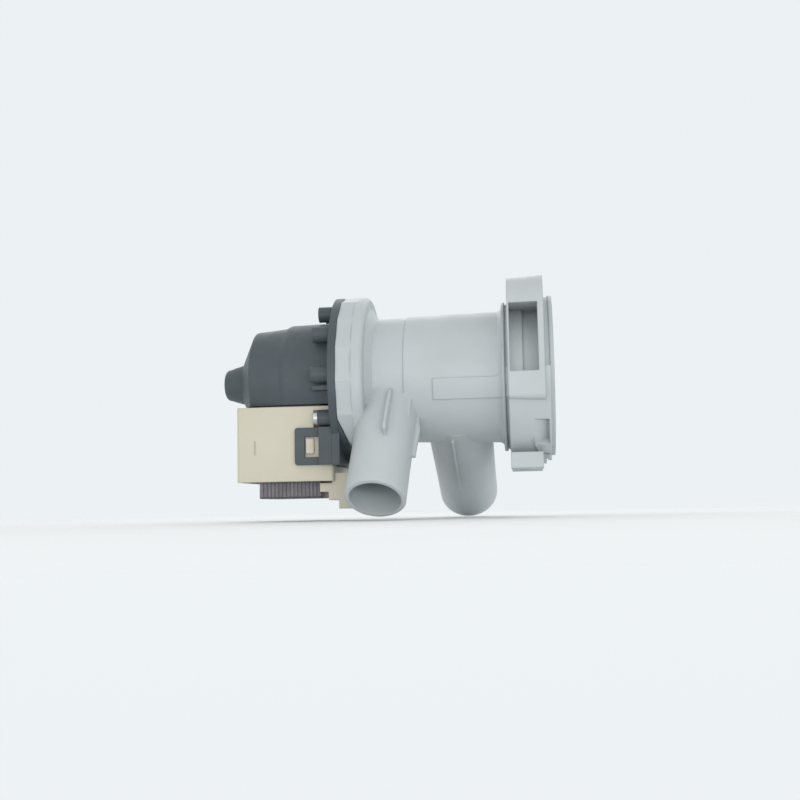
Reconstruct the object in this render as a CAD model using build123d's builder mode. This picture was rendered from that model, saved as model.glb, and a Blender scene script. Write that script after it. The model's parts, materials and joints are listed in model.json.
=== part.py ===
from build123d import *
import os
from math import cos, radians, sin, sqrt

# Washer drain pump, in millimetres.
# X runs along the pump axis and is zero at the mouth, +X points out of the mouth.
# +Z is up, and the outlet spigot leans to the near side, -Y.

# Overrun of every cut past the face that it opens
over = 1.0

# Clearances
slide_gap = 0.3
seat_gap = 0.1
shaft_gap = 0.05
flat_gap = 0.2

# Housing walls
wall = 2.5
land_r = 34.0
land_length = 11.0
tube_front_draw = 2.1
tube_back_draw = 3.3
chamber_draw = 3.8
bayonet_relief = 3.0
bayonet_depth = 6.6
bayonet_lug_rise = 2.4
bayonet_lug_thickness = 2.4
bayonet_lug_setback = 2.2
bayonet_lug_count = 4
bayonet_lug_arc = 38.0

# Housing lengths along the axis, from the mouth back to the flange
ring_length = 4.6
bracket_length = 17.9
bracket_step = 7.3
flare_length = 5.0
tube_length = 47.8
neck_length = 15.7
shoulder_length = 6.5
skirt_length = 10.5

# Housing outside
ring_wall = 4.0
ring_lip = 0.7
ring_lip_length = 2.0
flare_wall = 4.8
flange_edge = 7.9
flange_corners = 8
flange_top_arc = 11.0
flange_low_arc = 34.0
rim_edge = 3.0
seam_collar_proud = 0.2
seam_collar_length = 1.6
seam_collar_gap = 1.7

# Pad along the near side of the filter tube
pad_top = 3.4
pad_low = 13.9
pad_rise = 4.4
pad_rise_length = 6.0
pad_length = 36.0
pad_proud = 0.6

# Partition between the filter chamber and the pump chamber
partition_thickness = 2.5
suction_eye_r = 13.0
eye_lip_length = 3.0
eye_lip_wall = 2.0

# Flange face
gasket_land = 1.0
gasket_groove_width = 2.6
gasket_groove_depth = 2.1
flange_core_depth = 7.5
screw_land = 2.7
screw_step = 36.0
screw_count = 8
screw_boss_r = 3.6

# Outlet spigot, leaning towards the near side and a little towards the motor
outlet_bore_r = 12.6
outlet_wall = 2.4
outlet_setback = 7.8
outlet_offset = 7.0
outlet_reach = 83.2
outlet_lean = 36.0
outlet_rake = 3.0
outlet_grip = 20.0
spigot_draft = 0.5
spigot_edge = 0.6
spigot_bevel = 45.0

# Inlet spigot, running to the far side
inlet_bore_r = 15.0
inlet_wall = 2.0
inlet_setback = 22.5
inlet_offset = 17.0
inlet_reach = 104.0
inlet_lean = 66.0
inlet_grip = 26.0

# Stiffening fins of the spigots
fin_thickness = 1.6
outlet_fin_height = 1.8
outlet_fin_start = 28.5
outlet_fin_end = 56.5
outlet_fin_offset = 3.4
outlet_fin_slant = -4.5
outlet_gusset_height = 2.8
outlet_gusset_foot = 2.0
outlet_gusset_start = 22.0
outlet_gusset_middle = 40.0
outlet_gusset_end = 57.0
outlet_gusset_step = 3.0
outlet_rib_offset = 12.2
outlet_rib_height = 2.0
outlet_rib_start = 22.0
outlet_rib_end = 38.0
inlet_fin_height = 2.4
inlet_fin_offset = 2.5
inlet_fin_start = 4.0
inlet_fin_end = 60.0

# Mounting bracket around the mouth
bracket_side_reach = 6.5
bracket_top_reach = 7.0
bracket_foot_reach = 5.0
bracket_draft = 3.0
bracket_corner_r = 22.5
bracket_wall = 2.4
bracket_front_wall = 3.0
bracket_back_wall = 1.0
window_top = 31.2
window_low = 2.5
bar_foot = 16.6
bar_edge = 3.0
foot_front_arc = 65.0
lug_height = 8.0
lug_reach = 3.0
lug_setback = 1.8
lug_inner = 12.0
lug_outer = 30.0
lug_hole_r = 2.6
bracket_rib = 2.0
bracket_rib_count = 8
bracket_rib_start = 180.0 / bracket_rib_count / 2

# Drip notch and hook at the lower near side of the mouth ring
notch_angle = 44.0
notch_arc = 20.0
notch_front = 3.2
notch_length = 7.4
notch_depth = 4.2
hook_back = 10.4
hook_front = 3.0
hook_top = 34.6
hook_low = 43.0
hook_width = 1.3
hook_proud = 0.9
tip_angle = 72.0
tip_arc = 16.0
tip_reach = 5.4
tip_setback = 2.1
tip_length = 1.8

# Rotor can with its flange plate
plate_thickness = 4.0
plate_edge = 0.6
pilot_depth = 3.5
pilot_gap = 0.3
can_bore_r = 12.0
can_wall = 1.2
can_length = 46.0
can_end_wall = 1.6
bell_r = 11.0
bell_length = 5.6
nose_bore_r = 7.0
nose_wall = 2.2
nose_taper_length = 6.0
nose_length = 5.0
nose_end_r = 8.4
nose_edge = 2.6
boss_r = 4.1
boss_length = 9.4
pan_boss_length = 7.2
boss_recess_depth = 3.0
plate_lug_edge = 0.6
plate_lug_top = 20.0
plate_lug_low = 45.5
apron_rise = 23.0
apron_foot = 36.0
apron_reach = 5.0
apron_gap = 0.4

# Clip arms of the rotor can
arm_thickness = 1.9
arm_length = 19.7
arm_top = 26.0
arm_low = 45.0
arm_corner = 1.5
arm_window_back = 5.1
arm_window_length = 7.3
arm_window_top = 30.7
arm_window_low = 41.0
arm_block_length = 6.8
arm_block_proud = 5.2
arm_block_groove = 0.6
arm_block_groove_width = 0.7
arm_block_band = 6.5

# Stator cover
dome_gap = 0.8
dome_draft = 0.8
dome_step = 1.4
dome_rear_draw = 3.8
dome_step_length = 25.0
dome_step_slope = 2.8
dome_wall = 2.0
dome_length = 43.9
dome_cone_length = 7.7
dome_rim = 1.0
dome_floor_gap = 0.9
dome_end_edge = 1.2
dome_ledge_length = 9.3
dome_ledge_height = 6.5
dome_ledge_drop = 1.2
dome_ledge_reach = 4.8

# Stator core
core_length = 32.0
core_setback = 8.0
core_leg_inner = 10.0
core_top = 13.0
core_yoke_top = 51.2
core_yoke_height = 10.4
core_corner = 1.2
sheet_pitch = 2.0
sheet_groove_width = 0.5
sheet_groove_depth = 0.4
pole_gap = 0.4

# Coil cover
cover_wall = 1.5
cover_back_reach = 10.4
cover_top = 14.9
cover_skirt = 2.0
cover_corner = 1.5
cover_gate_width = 0.8
cover_gate_height = 7.0
cover_gate_depth = 0.4
cover_gate_setback = 9.5
latch_length = 3.9
latch_height = 7.7
latch_proud = 2.2
latch_back_gap = 0.7
latch_drop = 0.9

# Connector shroud of the coil cover
socket_length = 22.0
socket_half_width = 13.0
socket_y = 11.0
socket_top = 49.0
socket_low = 67.3
socket_wall = 1.6
socket_back_reach = 7.7
socket_step_one = 4.5
socket_step_two = 9.8
socket_rise_one = 8.6
socket_rise_two = 4.4
socket_depth = 12.0
key_width = 2.0
key_height = 1.2
blade_width = 6.3
blade_thickness = 0.8
blade_pitch = 10.0
blade_reach = 8.0
blade_root = 6.0

# Coils
bobbin_wall = 1.0
bobbin_flange = 1.0
winding_thickness = 3.0
bobbin_head_gap = 0.6
bobbin_foot_gap = 0.4

# Thermal protector beside the near coil
protector_length = 2.8
protector_width = 12.0
protector_height = 9.0
protector_edge = 0.8
protector_top = 24.0

# Screws
shank_r = 1.9
screw_hole_gap = 0.25
screw_bite = 7.5
sunk_head_r = 3.0
sunk_head_height = 2.2
pan_head_r = 4.0
pan_head_height = 2.8
washer_thickness = 0.8
drive_recess_r = 1.3
drive_recess_depth = 1.2
head_edge = 0.5

# Rotor
magnet_gap = 0.7
magnet_length = 33.0
magnet_core_r = 4.3
magnet_flange_r = 8.0
magnet_flange_thickness = 1.5
shaft_r = 2.0
thrust_washer_r = 4.2
thrust_washer_thickness = 1.0
bearing_r = 4.5
bearing_length = 8.0
sleeve_end_gap = 0.5

# Bearing carrier
carrier_flange_width = 4.0
carrier_flange_thickness = 2.0
carrier_plug_length = 10.2
carrier_lip = 0.8
ring_groove_depth = 1.7
ring_groove_width = 2.4
ring_groove_setback = 1.6
shaft_seal_r = 5.6
shaft_seal_length = 3.0
shaft_seal_lip = 0.9
shaft_seal_hollow_r = 3.6

# Impeller and its coupling
impeller_gap = 2.0
disc_thickness = 1.4
hub_r = 9.8
hub_cavity_r = 8.0
hub_length = 12.6
hub_front_wall = 4.0
hub_cover_thickness = 1.6
hub_cover_r = 8.7
hub_cover_bore_r = 2.8
vane_count = 6
vane_gap = 9.7
vane_thickness = 1.8
vane_length = 19.0
vane_inner_r = 5.2
vane_tip_drop = 4.0
dog_r = 7.4
dog_hub_r = 3.6
dog_arm_arc = 40.0
stop_arc = 30.0
pad_arc = 9.0
pad_gap_arc = 0.4
clip_r = 4.2
clip_thickness = 0.8
clip_groove_depth = 0.5
clip_slot = 2.2
shaft_front = 1.2

# Stations along the axis
x_ring = -ring_length
x_bracket = x_ring - bracket_length
x_flare = x_bracket - flare_length
x_step = x_flare - tube_length
x_neck = x_step - neck_length
x_shoulder = x_neck - shoulder_length
x_flange = x_shoulder - skirt_length
x_plate = x_flange - plate_thickness
x_outlet = x_step - outlet_setback
x_inlet = x_flare - inlet_setback
x_partition = x_outlet + outlet_bore_r
x_chamber_front = x_partition + partition_thickness
x_land = -bayonet_depth - land_length
x_pilot = x_flange + pilot_depth
x_can_end = x_plate - can_length
x_bell_end = x_can_end - bell_length
x_nose_taper = x_bell_end - nose_taper_length
x_nose_end = x_nose_taper - nose_length
x_core_front = x_plate - core_setback
x_core_back = x_core_front - core_length
x_core_middle = (x_core_front + x_core_back) / 2

# Radii of the housing that follow
tube_bore_front_r = land_r - tube_front_draw
tube_bore_back_r = land_r - tube_back_draw
chamber_bore_r = land_r - chamber_draw
bayonet_relief_r = land_r + bayonet_relief
bayonet_lug_r = bayonet_relief_r - bayonet_lug_rise
ring_r = bayonet_relief_r + ring_wall
ring_lip_r = ring_r + ring_lip
flare_r = land_r + flare_wall
seam_collar_r = flare_r + seam_collar_proud
bracket_half_width = ring_r + bracket_side_reach
bracket_top = ring_r + bracket_top_reach
bracket_foot_r = ring_r + bracket_foot_reach
lug_low = bracket_foot_r + lug_reach
lug_top = lug_low - lug_height
tip_r = ring_lip_r + tip_reach
gasket_bore_r = chamber_bore_r + gasket_land
screw_circle_r = gasket_bore_r + gasket_groove_width + screw_land
flange_r = screw_circle_r + flange_edge
chamber_r = chamber_bore_r + wall
tube_back_r = tube_bore_back_r + wall
tube_front_r = tube_bore_front_r + wall
land_wall_r = land_r + wall
can_r = can_bore_r + can_wall
nose_r = nose_bore_r + nose_wall
outlet_r = outlet_bore_r + outlet_wall
inlet_r = inlet_bore_r + inlet_wall
pole_bore_r = can_r + pole_gap
core_inner_r = gasket_bore_r + gasket_groove_width + wall / 2
flange_facet_arc = (180.0 - (flange_top_arc + flange_low_arc) / 2) / (flange_corners - 1)
core_outer_r = flange_r * cos(radians(flange_facet_arc / 2)) - wall
screw_hole_r = shank_r + screw_hole_gap
magnet_r = can_bore_r - magnet_gap
carrier_flange_r = can_bore_r + carrier_flange_width
vane_r = chamber_bore_r - vane_gap
dome_front_r = screw_circle_r - boss_r - dome_gap
dome_step_r = dome_front_r - dome_draft
dome_r = dome_step_r - dome_step
dome_rear_r = dome_front_r - dome_rear_draw
dome_end_r = bell_r + slide_gap + dome_rim

# Screws from one side over the top to the other: the first and the last are pan heads
first_screw_angle = 90.0 - screw_step * (screw_count - 1) / 2
screw_angles = [first_screw_angle + screw_step * i for i in range(screw_count)]
pan_angles = (screw_angles[0], screw_angles[-1])
sunk_angles = screw_angles[1:-1]

# The stator fits between the lowest bosses
pan_screw_y = screw_circle_r * cos(radians(first_screw_angle))
winding_reach = slide_gap + bobbin_wall + winding_thickness
core_half_width = pan_screw_y - boss_r - winding_reach - seat_gap
cover_face = core_half_width + winding_reach + slide_gap + cover_wall
plate_lug_half_width = cover_face + seat_gap + arm_block_proud + plate_lug_edge

# Heights of the stator below the axis
core_low = core_yoke_top + core_yoke_height
cover_low = core_yoke_top + cover_skirt
bobbin_top = cover_top + cover_wall + bobbin_head_gap
bobbin_low = core_yoke_top - bobbin_foot_gap


def polar_place(radius, angle):
    """Point in the YZ plane at an angle from the near side, up positive."""
    return (-radius * cos(radians(angle)), radius * sin(radians(angle)))


def places(angles):
    """Screw places for a YZ sketch."""
    return Locations(*[polar_place(screw_circle_r, angle) for angle in angles])


# Directions and planes of the spigots
outlet_side = Vector(0, -cos(radians(outlet_lean)), sin(radians(outlet_lean)))
outlet_down = Vector(0, -sin(radians(outlet_lean)), -cos(radians(outlet_lean)))
outlet_cross = Vector(cos(radians(outlet_rake)), 0, 0) + outlet_down * sin(radians(outlet_rake))
outlet_direction = outlet_cross.cross(outlet_side)
outlet_foot = Vector(x_outlet, 0, 0) + outlet_side * outlet_offset
outlet_plane = Plane(origin=outlet_foot, x_dir=outlet_cross, z_dir=outlet_direction)

inlet_direction = Vector(0, sin(radians(inlet_lean)), -cos(radians(inlet_lean)))
inlet_side = Vector(0, -cos(radians(inlet_lean)), -sin(radians(inlet_lean)))
inlet_foot = Vector(x_inlet, 0, 0) + inlet_side * inlet_offset
inlet_plane = Plane(origin=inlet_foot, x_dir=(1, 0, 0), z_dir=inlet_direction)


def ring_sector(inner_r, outer_r, middle_angle, arc):
    """Flat ring sector for a YZ sketch, about an angle from the near side."""
    low = middle_angle - arc / 2
    high = middle_angle + arc / 2
    with BuildSketch() as zone:
        with BuildLine():
            Line(polar_place(inner_r, low), polar_place(outer_r, low))
            ThreePointArc(polar_place(outer_r, low), polar_place(outer_r, middle_angle),
                          polar_place(outer_r, high))
            Line(polar_place(outer_r, high), polar_place(inner_r, high))
            ThreePointArc(polar_place(inner_r, high), polar_place(inner_r, middle_angle),
                          polar_place(inner_r, low))
        make_face()
    return zone.sketch


def bracket_frame(inset):
    """Square frame of the bracket with round upper corners, for a YZ sketch."""
    half = bracket_half_width - inset
    top = bracket_top - inset
    low = -bar_foot + inset
    with BuildSketch() as frame:
        with Locations((0, (top + low) / 2)):
            Rectangle(2 * half, top - low)
        fillet(frame.vertices().group_by(Axis.Y)[-1], radius=bracket_corner_r - inset)
        fillet(frame.vertices().group_by(Axis.Y)[0], radius=bar_edge)
    return frame.sketch


def spigot(plane, outer_r, reach, grip):
    """Outside of a spigot: its drafted root, the seat of the hose and a bevelled end."""
    with BuildPart() as tube:
        with Locations(plane):
            Cone(bottom_radius=outer_r + spigot_draft, top_radius=outer_r, height=reach - grip,
                 align=(Align.CENTER, Align.CENTER, Align.MIN))
        with BuildSketch(plane.offset(reach - grip)):
            Circle(outer_r)
        extrude(amount=grip - spigot_edge)
        with BuildSketch(plane.offset(reach - spigot_edge)):
            Circle(outer_r)
        extrude(amount=spigot_edge, taper=spigot_bevel)
    return tube.part


# Pump housing
foot_front_zones = [ring_sector(ring_r - wall, bracket_foot_r, middle, foot_front_arc)
                    for middle in (-foot_front_arc / 2, 180.0 + foot_front_arc / 2)]
notch_zone = ring_sector(ring_r - wall, bracket_foot_r + over, -notch_angle, notch_arc)
lug_zone = ring_sector(bayonet_lug_r, bayonet_relief_r + wall / 2, 0.0, bayonet_lug_arc)
with BuildPart() as pump_housing:
    # Outside of the tubes, turned about the axis
    with BuildSketch(Plane.XZ):
        with BuildLine():
            Polyline((x_flange, 0), (x_flange, chamber_r), (x_step, chamber_r),
                     (x_step, tube_back_r), (x_flare, tube_front_r),
                     (x_bracket, flare_r), (x_bracket + bracket_step, flare_r),
                     (x_bracket + bracket_step, land_wall_r), (x_ring, land_wall_r),
                     (x_ring, ring_r), (-ring_lip_length, ring_r), (-ring_lip_length, ring_lip_r),
                     (0, ring_lip_r), (0, 0), close=True)
        make_face()
    revolve(axis=Axis.X)
    # Faceted flange skirt
    with BuildSketch(Plane.YZ.offset(x_flange)):
        near = [polar_place(flange_r, 90.0 - flange_top_arc / 2 - flange_facet_arc * i)
                for i in range(flange_corners)]
        far = [(-y, z) for y, z in reversed(near)]
        with BuildLine():
            Polyline(*near, *far, close=True)
        make_face()
    extrude(amount=skirt_length)
    # Rounded rim and its slope down to the neck
    with BuildSketch(Plane.XZ):
        with BuildLine():
            rim_top = FilletPolyline((x_shoulder - rim_edge, chamber_r - wall / 2),
                                     (x_shoulder - rim_edge, flange_r),
                                     (x_shoulder + rim_edge, flange_r),
                                     (x_shoulder + rim_edge, (flange_r + chamber_r) / 2),
                                     (x_neck, chamber_r), (x_neck, chamber_r - wall / 2),
                                     radius=[rim_edge / 4, rim_edge, rim_edge, rim_edge / 2])
            Line(rim_top @ 1, rim_top @ 0)
        make_face()
    revolve(axis=Axis.X)
    # Seam collar behind the bracket
    with BuildSketch(Plane.YZ.offset(x_bracket - seam_collar_gap)):
        Circle(seam_collar_r)
    extrude(amount=-seam_collar_length)
    # Shallow pad along the near side of the filter tube, its top rising to the window's sill
    with BuildSketch(Plane.XZ):
        with BuildLine():
            pad_edge = Polyline((x_flare + pad_rise_length / 2 - pad_length, -pad_top),
                                (x_flare - pad_rise_length / 2, -pad_top))
            pad_curve = Spline(pad_edge @ 1, (x_bracket, pad_rise - pad_top),
                               tangents=((1, 0), (1, 0)))
            Polyline(pad_curve @ 1, (x_bracket, -pad_low),
                     (x_flare + pad_rise_length / 2 - pad_length, -pad_low), pad_edge @ 0)
        make_face()
    pad_prism = extrude(amount=flare_r + pad_proud + over, mode=Mode.PRIVATE)
    with BuildSketch(Plane.XZ):
        with BuildLine():
            Polyline((x_step, 0), (x_step, tube_back_r + pad_proud),
                     (x_flare, tube_front_r + pad_proud), (x_bracket, flare_r + pad_proud),
                     (x_bracket, 0), close=True)
        make_face()
    pad_skin = revolve(axis=Axis.X, mode=Mode.PRIVATE)
    add(pad_prism & pad_skin)
    # Foot of the bracket round the ring
    with BuildSketch(Plane.YZ.offset(x_bracket)):
        Circle(bracket_foot_r)
    extrude(amount=bracket_length)
    with BuildSketch(Plane.YZ.offset(x_ring)):
        add(foot_front_zones)
    extrude(amount=ring_length - ring_lip_length)
    # Foot lugs
    with BuildSketch(Plane.YZ.offset(x_bracket)):
        for side in (-1, 1):
            with Locations((side * (lug_inner + lug_outer) / 2, -(lug_low + lug_top) / 2)):
                Rectangle(lug_outer - lug_inner, lug_low - lug_top)
    extrude(amount=bracket_length - lug_setback)
    # Bracket frame, drawn in slightly towards its back
    with BuildSketch(Plane.YZ.offset(x_ring)):
        add(bracket_frame(0))
    extrude(amount=-bracket_length, taper=bracket_draft)
    # Spigots
    add(spigot(outlet_plane, outlet_r, outlet_reach, outlet_grip))
    add(spigot(inlet_plane, inlet_r, inlet_reach, inlet_grip))
    # Fin down the near face of the outlet, slanting towards the motor
    fin_plane = Plane(origin=outlet_foot, x_dir=outlet_side, z_dir=outlet_cross)
    fin_middle = outlet_fin_offset - fin_thickness / 2
    with BuildSketch(fin_plane.rotated((outlet_fin_slant, 0, 0)).offset(fin_middle)):
        with BuildLine():
            Polyline((0, outlet_fin_start), (outlet_r, outlet_fin_start),
                     (outlet_r + outlet_fin_height, outlet_fin_start + 2 * outlet_fin_height),
                     (outlet_r + outlet_fin_height, outlet_fin_end - outlet_fin_height),
                     (outlet_r, outlet_fin_end), (0, outlet_fin_end), close=True)
        make_face()
    extrude(amount=fin_thickness)
    # Gusset on the mouth side of the outlet, stepped at its foot
    gusset_plane = Plane(origin=outlet_foot, x_dir=outlet_cross, z_dir=-outlet_side)
    with BuildSketch(gusset_plane.offset(-fin_thickness / 2)):
        with BuildLine():
            Polyline((0, outlet_gusset_start), (outlet_r, outlet_gusset_start),
                     (outlet_r + outlet_gusset_height, outlet_gusset_middle),
                     (outlet_r + outlet_gusset_foot, outlet_gusset_end - outlet_gusset_step),
                     (outlet_r + outlet_gusset_foot, outlet_gusset_end),
                     (0, outlet_gusset_end), close=True)
        make_face()
    extrude(amount=fin_thickness)
    # Short rib beside it
    outlet_rib_r = sqrt(outlet_r ** 2 - outlet_rib_offset ** 2)
    with BuildSketch(fin_plane.offset(outlet_rib_offset - fin_thickness / 2)):
        with BuildLine():
            Polyline((0, outlet_rib_start), (outlet_rib_r + outlet_rib_height, outlet_rib_start),
                     (outlet_rib_r, outlet_rib_end), (0, outlet_rib_end), close=True)
        make_face()
    extrude(amount=fin_thickness)
    # Fin along the under side of the inlet
    inlet_fin_plane = Plane(origin=inlet_foot, x_dir=inlet_side, z_dir=(1, 0, 0))
    with BuildSketch(inlet_fin_plane.offset(-inlet_fin_offset - fin_thickness / 2)):
        with BuildLine():
            Polyline((0, inlet_fin_start), (inlet_r + inlet_fin_height, inlet_fin_start),
                     (inlet_r + inlet_fin_height, inlet_fin_end), (0, inlet_fin_end), close=True)
        make_face()
    extrude(amount=fin_thickness)
    # Hook beside the drip notch, a curved rib on the foot, and the pointed tip of the lip
    with BuildSketch(Plane.XZ):
        with BuildLine():
            EllipticalCenterArc(center=(-hook_front, -hook_top),
                                x_radius=hook_back - hook_front,
                                y_radius=hook_low - hook_top, start_angle=180.0, arc_size=90.0)
        trace(line_width=hook_width)
    hook_prism = extrude(amount=bracket_foot_r + over, mode=Mode.PRIVATE)
    with BuildSketch(Plane.YZ.offset(-ring_lip_length - flat_gap)):
        Circle(bracket_foot_r + hook_proud)
        Circle(ring_r - wall, mode=Mode.SUBTRACT)
    hook_skin = extrude(amount=ring_lip_length - bracket_length, mode=Mode.PRIVATE)
    add(hook_prism & hook_skin)
    with BuildSketch(Plane.YZ.offset(-tip_setback)):
        with BuildLine():
            Polyline(polar_place(ring_r - wall, -tip_angle + tip_arc / 2),
                     polar_place(tip_r, -tip_angle),
                     polar_place(ring_r - wall, -tip_angle - tip_arc / 2), close=True)
        make_face()
    extrude(amount=-tip_length)

    # Inside of the filter tube, the land and the bayonet relief
    with BuildSketch(Plane.XZ):
        with BuildLine():
            Polyline((x_chamber_front, 0), (x_chamber_front, tube_bore_back_r),
                     (x_flare, tube_bore_front_r), (x_land, land_r),
                     (-bayonet_depth, land_r), (-bayonet_depth, bayonet_relief_r),
                     (over, bayonet_relief_r), (over, 0), close=True)
        make_face()
    revolve(axis=Axis.X, mode=Mode.SUBTRACT)
    # Pump chamber and the suction eye with its lip
    with BuildSketch(Plane.YZ.offset(x_flange - over)):
        Circle(chamber_bore_r)
    extrude(amount=x_partition - x_flange + over, mode=Mode.SUBTRACT)
    with BuildSketch(Plane.YZ.offset(x_partition)):
        Circle(suction_eye_r + eye_lip_wall)
    extrude(amount=-eye_lip_length)
    with BuildSketch(Plane.YZ.offset(x_partition - eye_lip_length - over)):
        Circle(suction_eye_r)
    extrude(amount=eye_lip_length + partition_thickness + 2 * over, mode=Mode.SUBTRACT)
    # Bores of the spigots
    with BuildSketch(outlet_plane):
        Circle(outlet_bore_r)
    extrude(amount=outlet_reach + over, mode=Mode.SUBTRACT)
    with BuildSketch(inlet_plane):
        Circle(inlet_bore_r)
    extrude(amount=inlet_reach + over, mode=Mode.SUBTRACT)
    # Gasket groove and the cored flange with its screw bosses
    with BuildSketch(Plane.YZ.offset(x_flange)):
        Circle(gasket_bore_r + gasket_groove_width)
        Circle(gasket_bore_r, mode=Mode.SUBTRACT)
    extrude(amount=gasket_groove_depth, mode=Mode.SUBTRACT)
    with BuildSketch(Plane.YZ.offset(x_flange)):
        Circle(core_outer_r)
        Circle(core_inner_r, mode=Mode.SUBTRACT)
        with places(screw_angles):
            Circle(screw_boss_r, mode=Mode.SUBTRACT)
    extrude(amount=flange_core_depth, mode=Mode.SUBTRACT)
    with BuildSketch(Plane.YZ.offset(x_flange)):
        with places(screw_angles):
            Circle(shank_r + shaft_gap)
    extrude(amount=screw_bite + over, mode=Mode.SUBTRACT)
    # The skirt is cut back below for the apron of the rotor can
    with BuildSketch(Plane.YZ.offset(x_flange)):
        Circle(flange_r + over)
        Circle(core_inner_r, mode=Mode.SUBTRACT)
    apron_ring = extrude(amount=apron_reach, mode=Mode.PRIVATE)
    with BuildSketch(Plane.XZ.offset(-flange_r - over)):
        with BuildLine():
            Polyline((x_flange, -apron_rise), (x_flange + apron_reach, -apron_foot),
                     (x_flange + apron_reach, -flange_r - over), (x_flange, -flange_r - over),
                     close=True)
        make_face()
    apron_prism = extrude(amount=2 * (flange_r + over), mode=Mode.PRIVATE)
    add(apron_ring & apron_prism, mode=Mode.SUBTRACT)

    # Windows of the bracket, one on each side
    x_window_step = x_bracket + bracket_step
    x_window_back = x_bracket + bracket_back_wall
    x_window_front = x_ring - bracket_front_wall
    for x_start, x_end, radius in ((x_window_back, x_window_step, flare_r),
                                   (x_window_step, x_window_front, land_wall_r)):
        with BuildSketch(Plane.YZ.offset(x_start)):
            with Locations((0, (window_top - window_low) / 2)):
                Rectangle(2 * (bracket_half_width + over), window_top + window_low)
            Circle(radius, mode=Mode.SUBTRACT)
        extrude(amount=x_end - x_start, mode=Mode.SUBTRACT)
    # Cored top and foot of the bracket, open to the back
    pocket_depth = bracket_length - bracket_front_wall
    with BuildSketch(Plane.YZ.offset(x_bracket)):
        add(bracket_frame(bracket_wall))
        with Locations((0, window_top + bracket_wall - bracket_top)):
            Rectangle(2 * bracket_half_width, 2 * bracket_top, mode=Mode.SUBTRACT)
        Circle(flare_r + flat_gap, mode=Mode.SUBTRACT)
        with PolarLocations(0, bracket_rib_count, start_angle=bracket_rib_start,
                            angular_range=180.0):
            Rectangle(4 * bracket_half_width, bracket_rib, mode=Mode.SUBTRACT)
    extrude(amount=pocket_depth, mode=Mode.SUBTRACT)
    with BuildSketch(Plane.YZ.offset(x_bracket)):
        Circle(bracket_foot_r - bracket_wall)
        Circle(flare_r + flat_gap, mode=Mode.SUBTRACT)
        with Locations((0, bracket_top / 2 - bar_foot)):
            Rectangle(2 * bracket_half_width, bracket_top, mode=Mode.SUBTRACT)
        with PolarLocations(0, bracket_rib_count, start_angle=bracket_rib_start,
                            angular_range=180.0):
            Rectangle(4 * bracket_half_width, bracket_rib, mode=Mode.SUBTRACT)
    extrude(amount=pocket_depth, mode=Mode.SUBTRACT)
    # Screw holes of the lugs
    with BuildSketch(Plane.YZ.offset(x_bracket - over)):
        for side in (-1, 1):
            with Locations((side * (lug_inner + lug_outer) / 2, -(lug_low + lug_top) / 2)):
                Circle(lug_hole_r)
    extrude(amount=bracket_length + 2 * over, mode=Mode.SUBTRACT)
    # Drip notch, a scoop that deepens towards the lip
    with BuildSketch(Plane.YZ.offset(-notch_front)):
        add(notch_zone)
    notch_prism = extrude(amount=-notch_length, mode=Mode.PRIVATE)
    with BuildSketch(Plane.XZ):
        with BuildLine():
            Polyline((-notch_front, bracket_foot_r - notch_depth),
                     (-notch_front - notch_length, bracket_foot_r),
                     (-notch_front - notch_length, bracket_foot_r + 2 * over),
                     (-notch_front, bracket_foot_r + 2 * over), close=True)
        make_face()
    notch_ring = revolve(axis=Axis.X, mode=Mode.PRIVATE)
    add(notch_prism & notch_ring, mode=Mode.SUBTRACT)
    # Bayonet lugs inside the mouth
    with BuildSketch(Plane.YZ.offset(-bayonet_lug_setback)):
        for i in range(bayonet_lug_count):
            add(lug_zone, rotation=360.0 / bayonet_lug_count * i)
    extrude(amount=-bayonet_lug_thickness)
pump_housing.part.label = "pump_housing"

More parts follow.
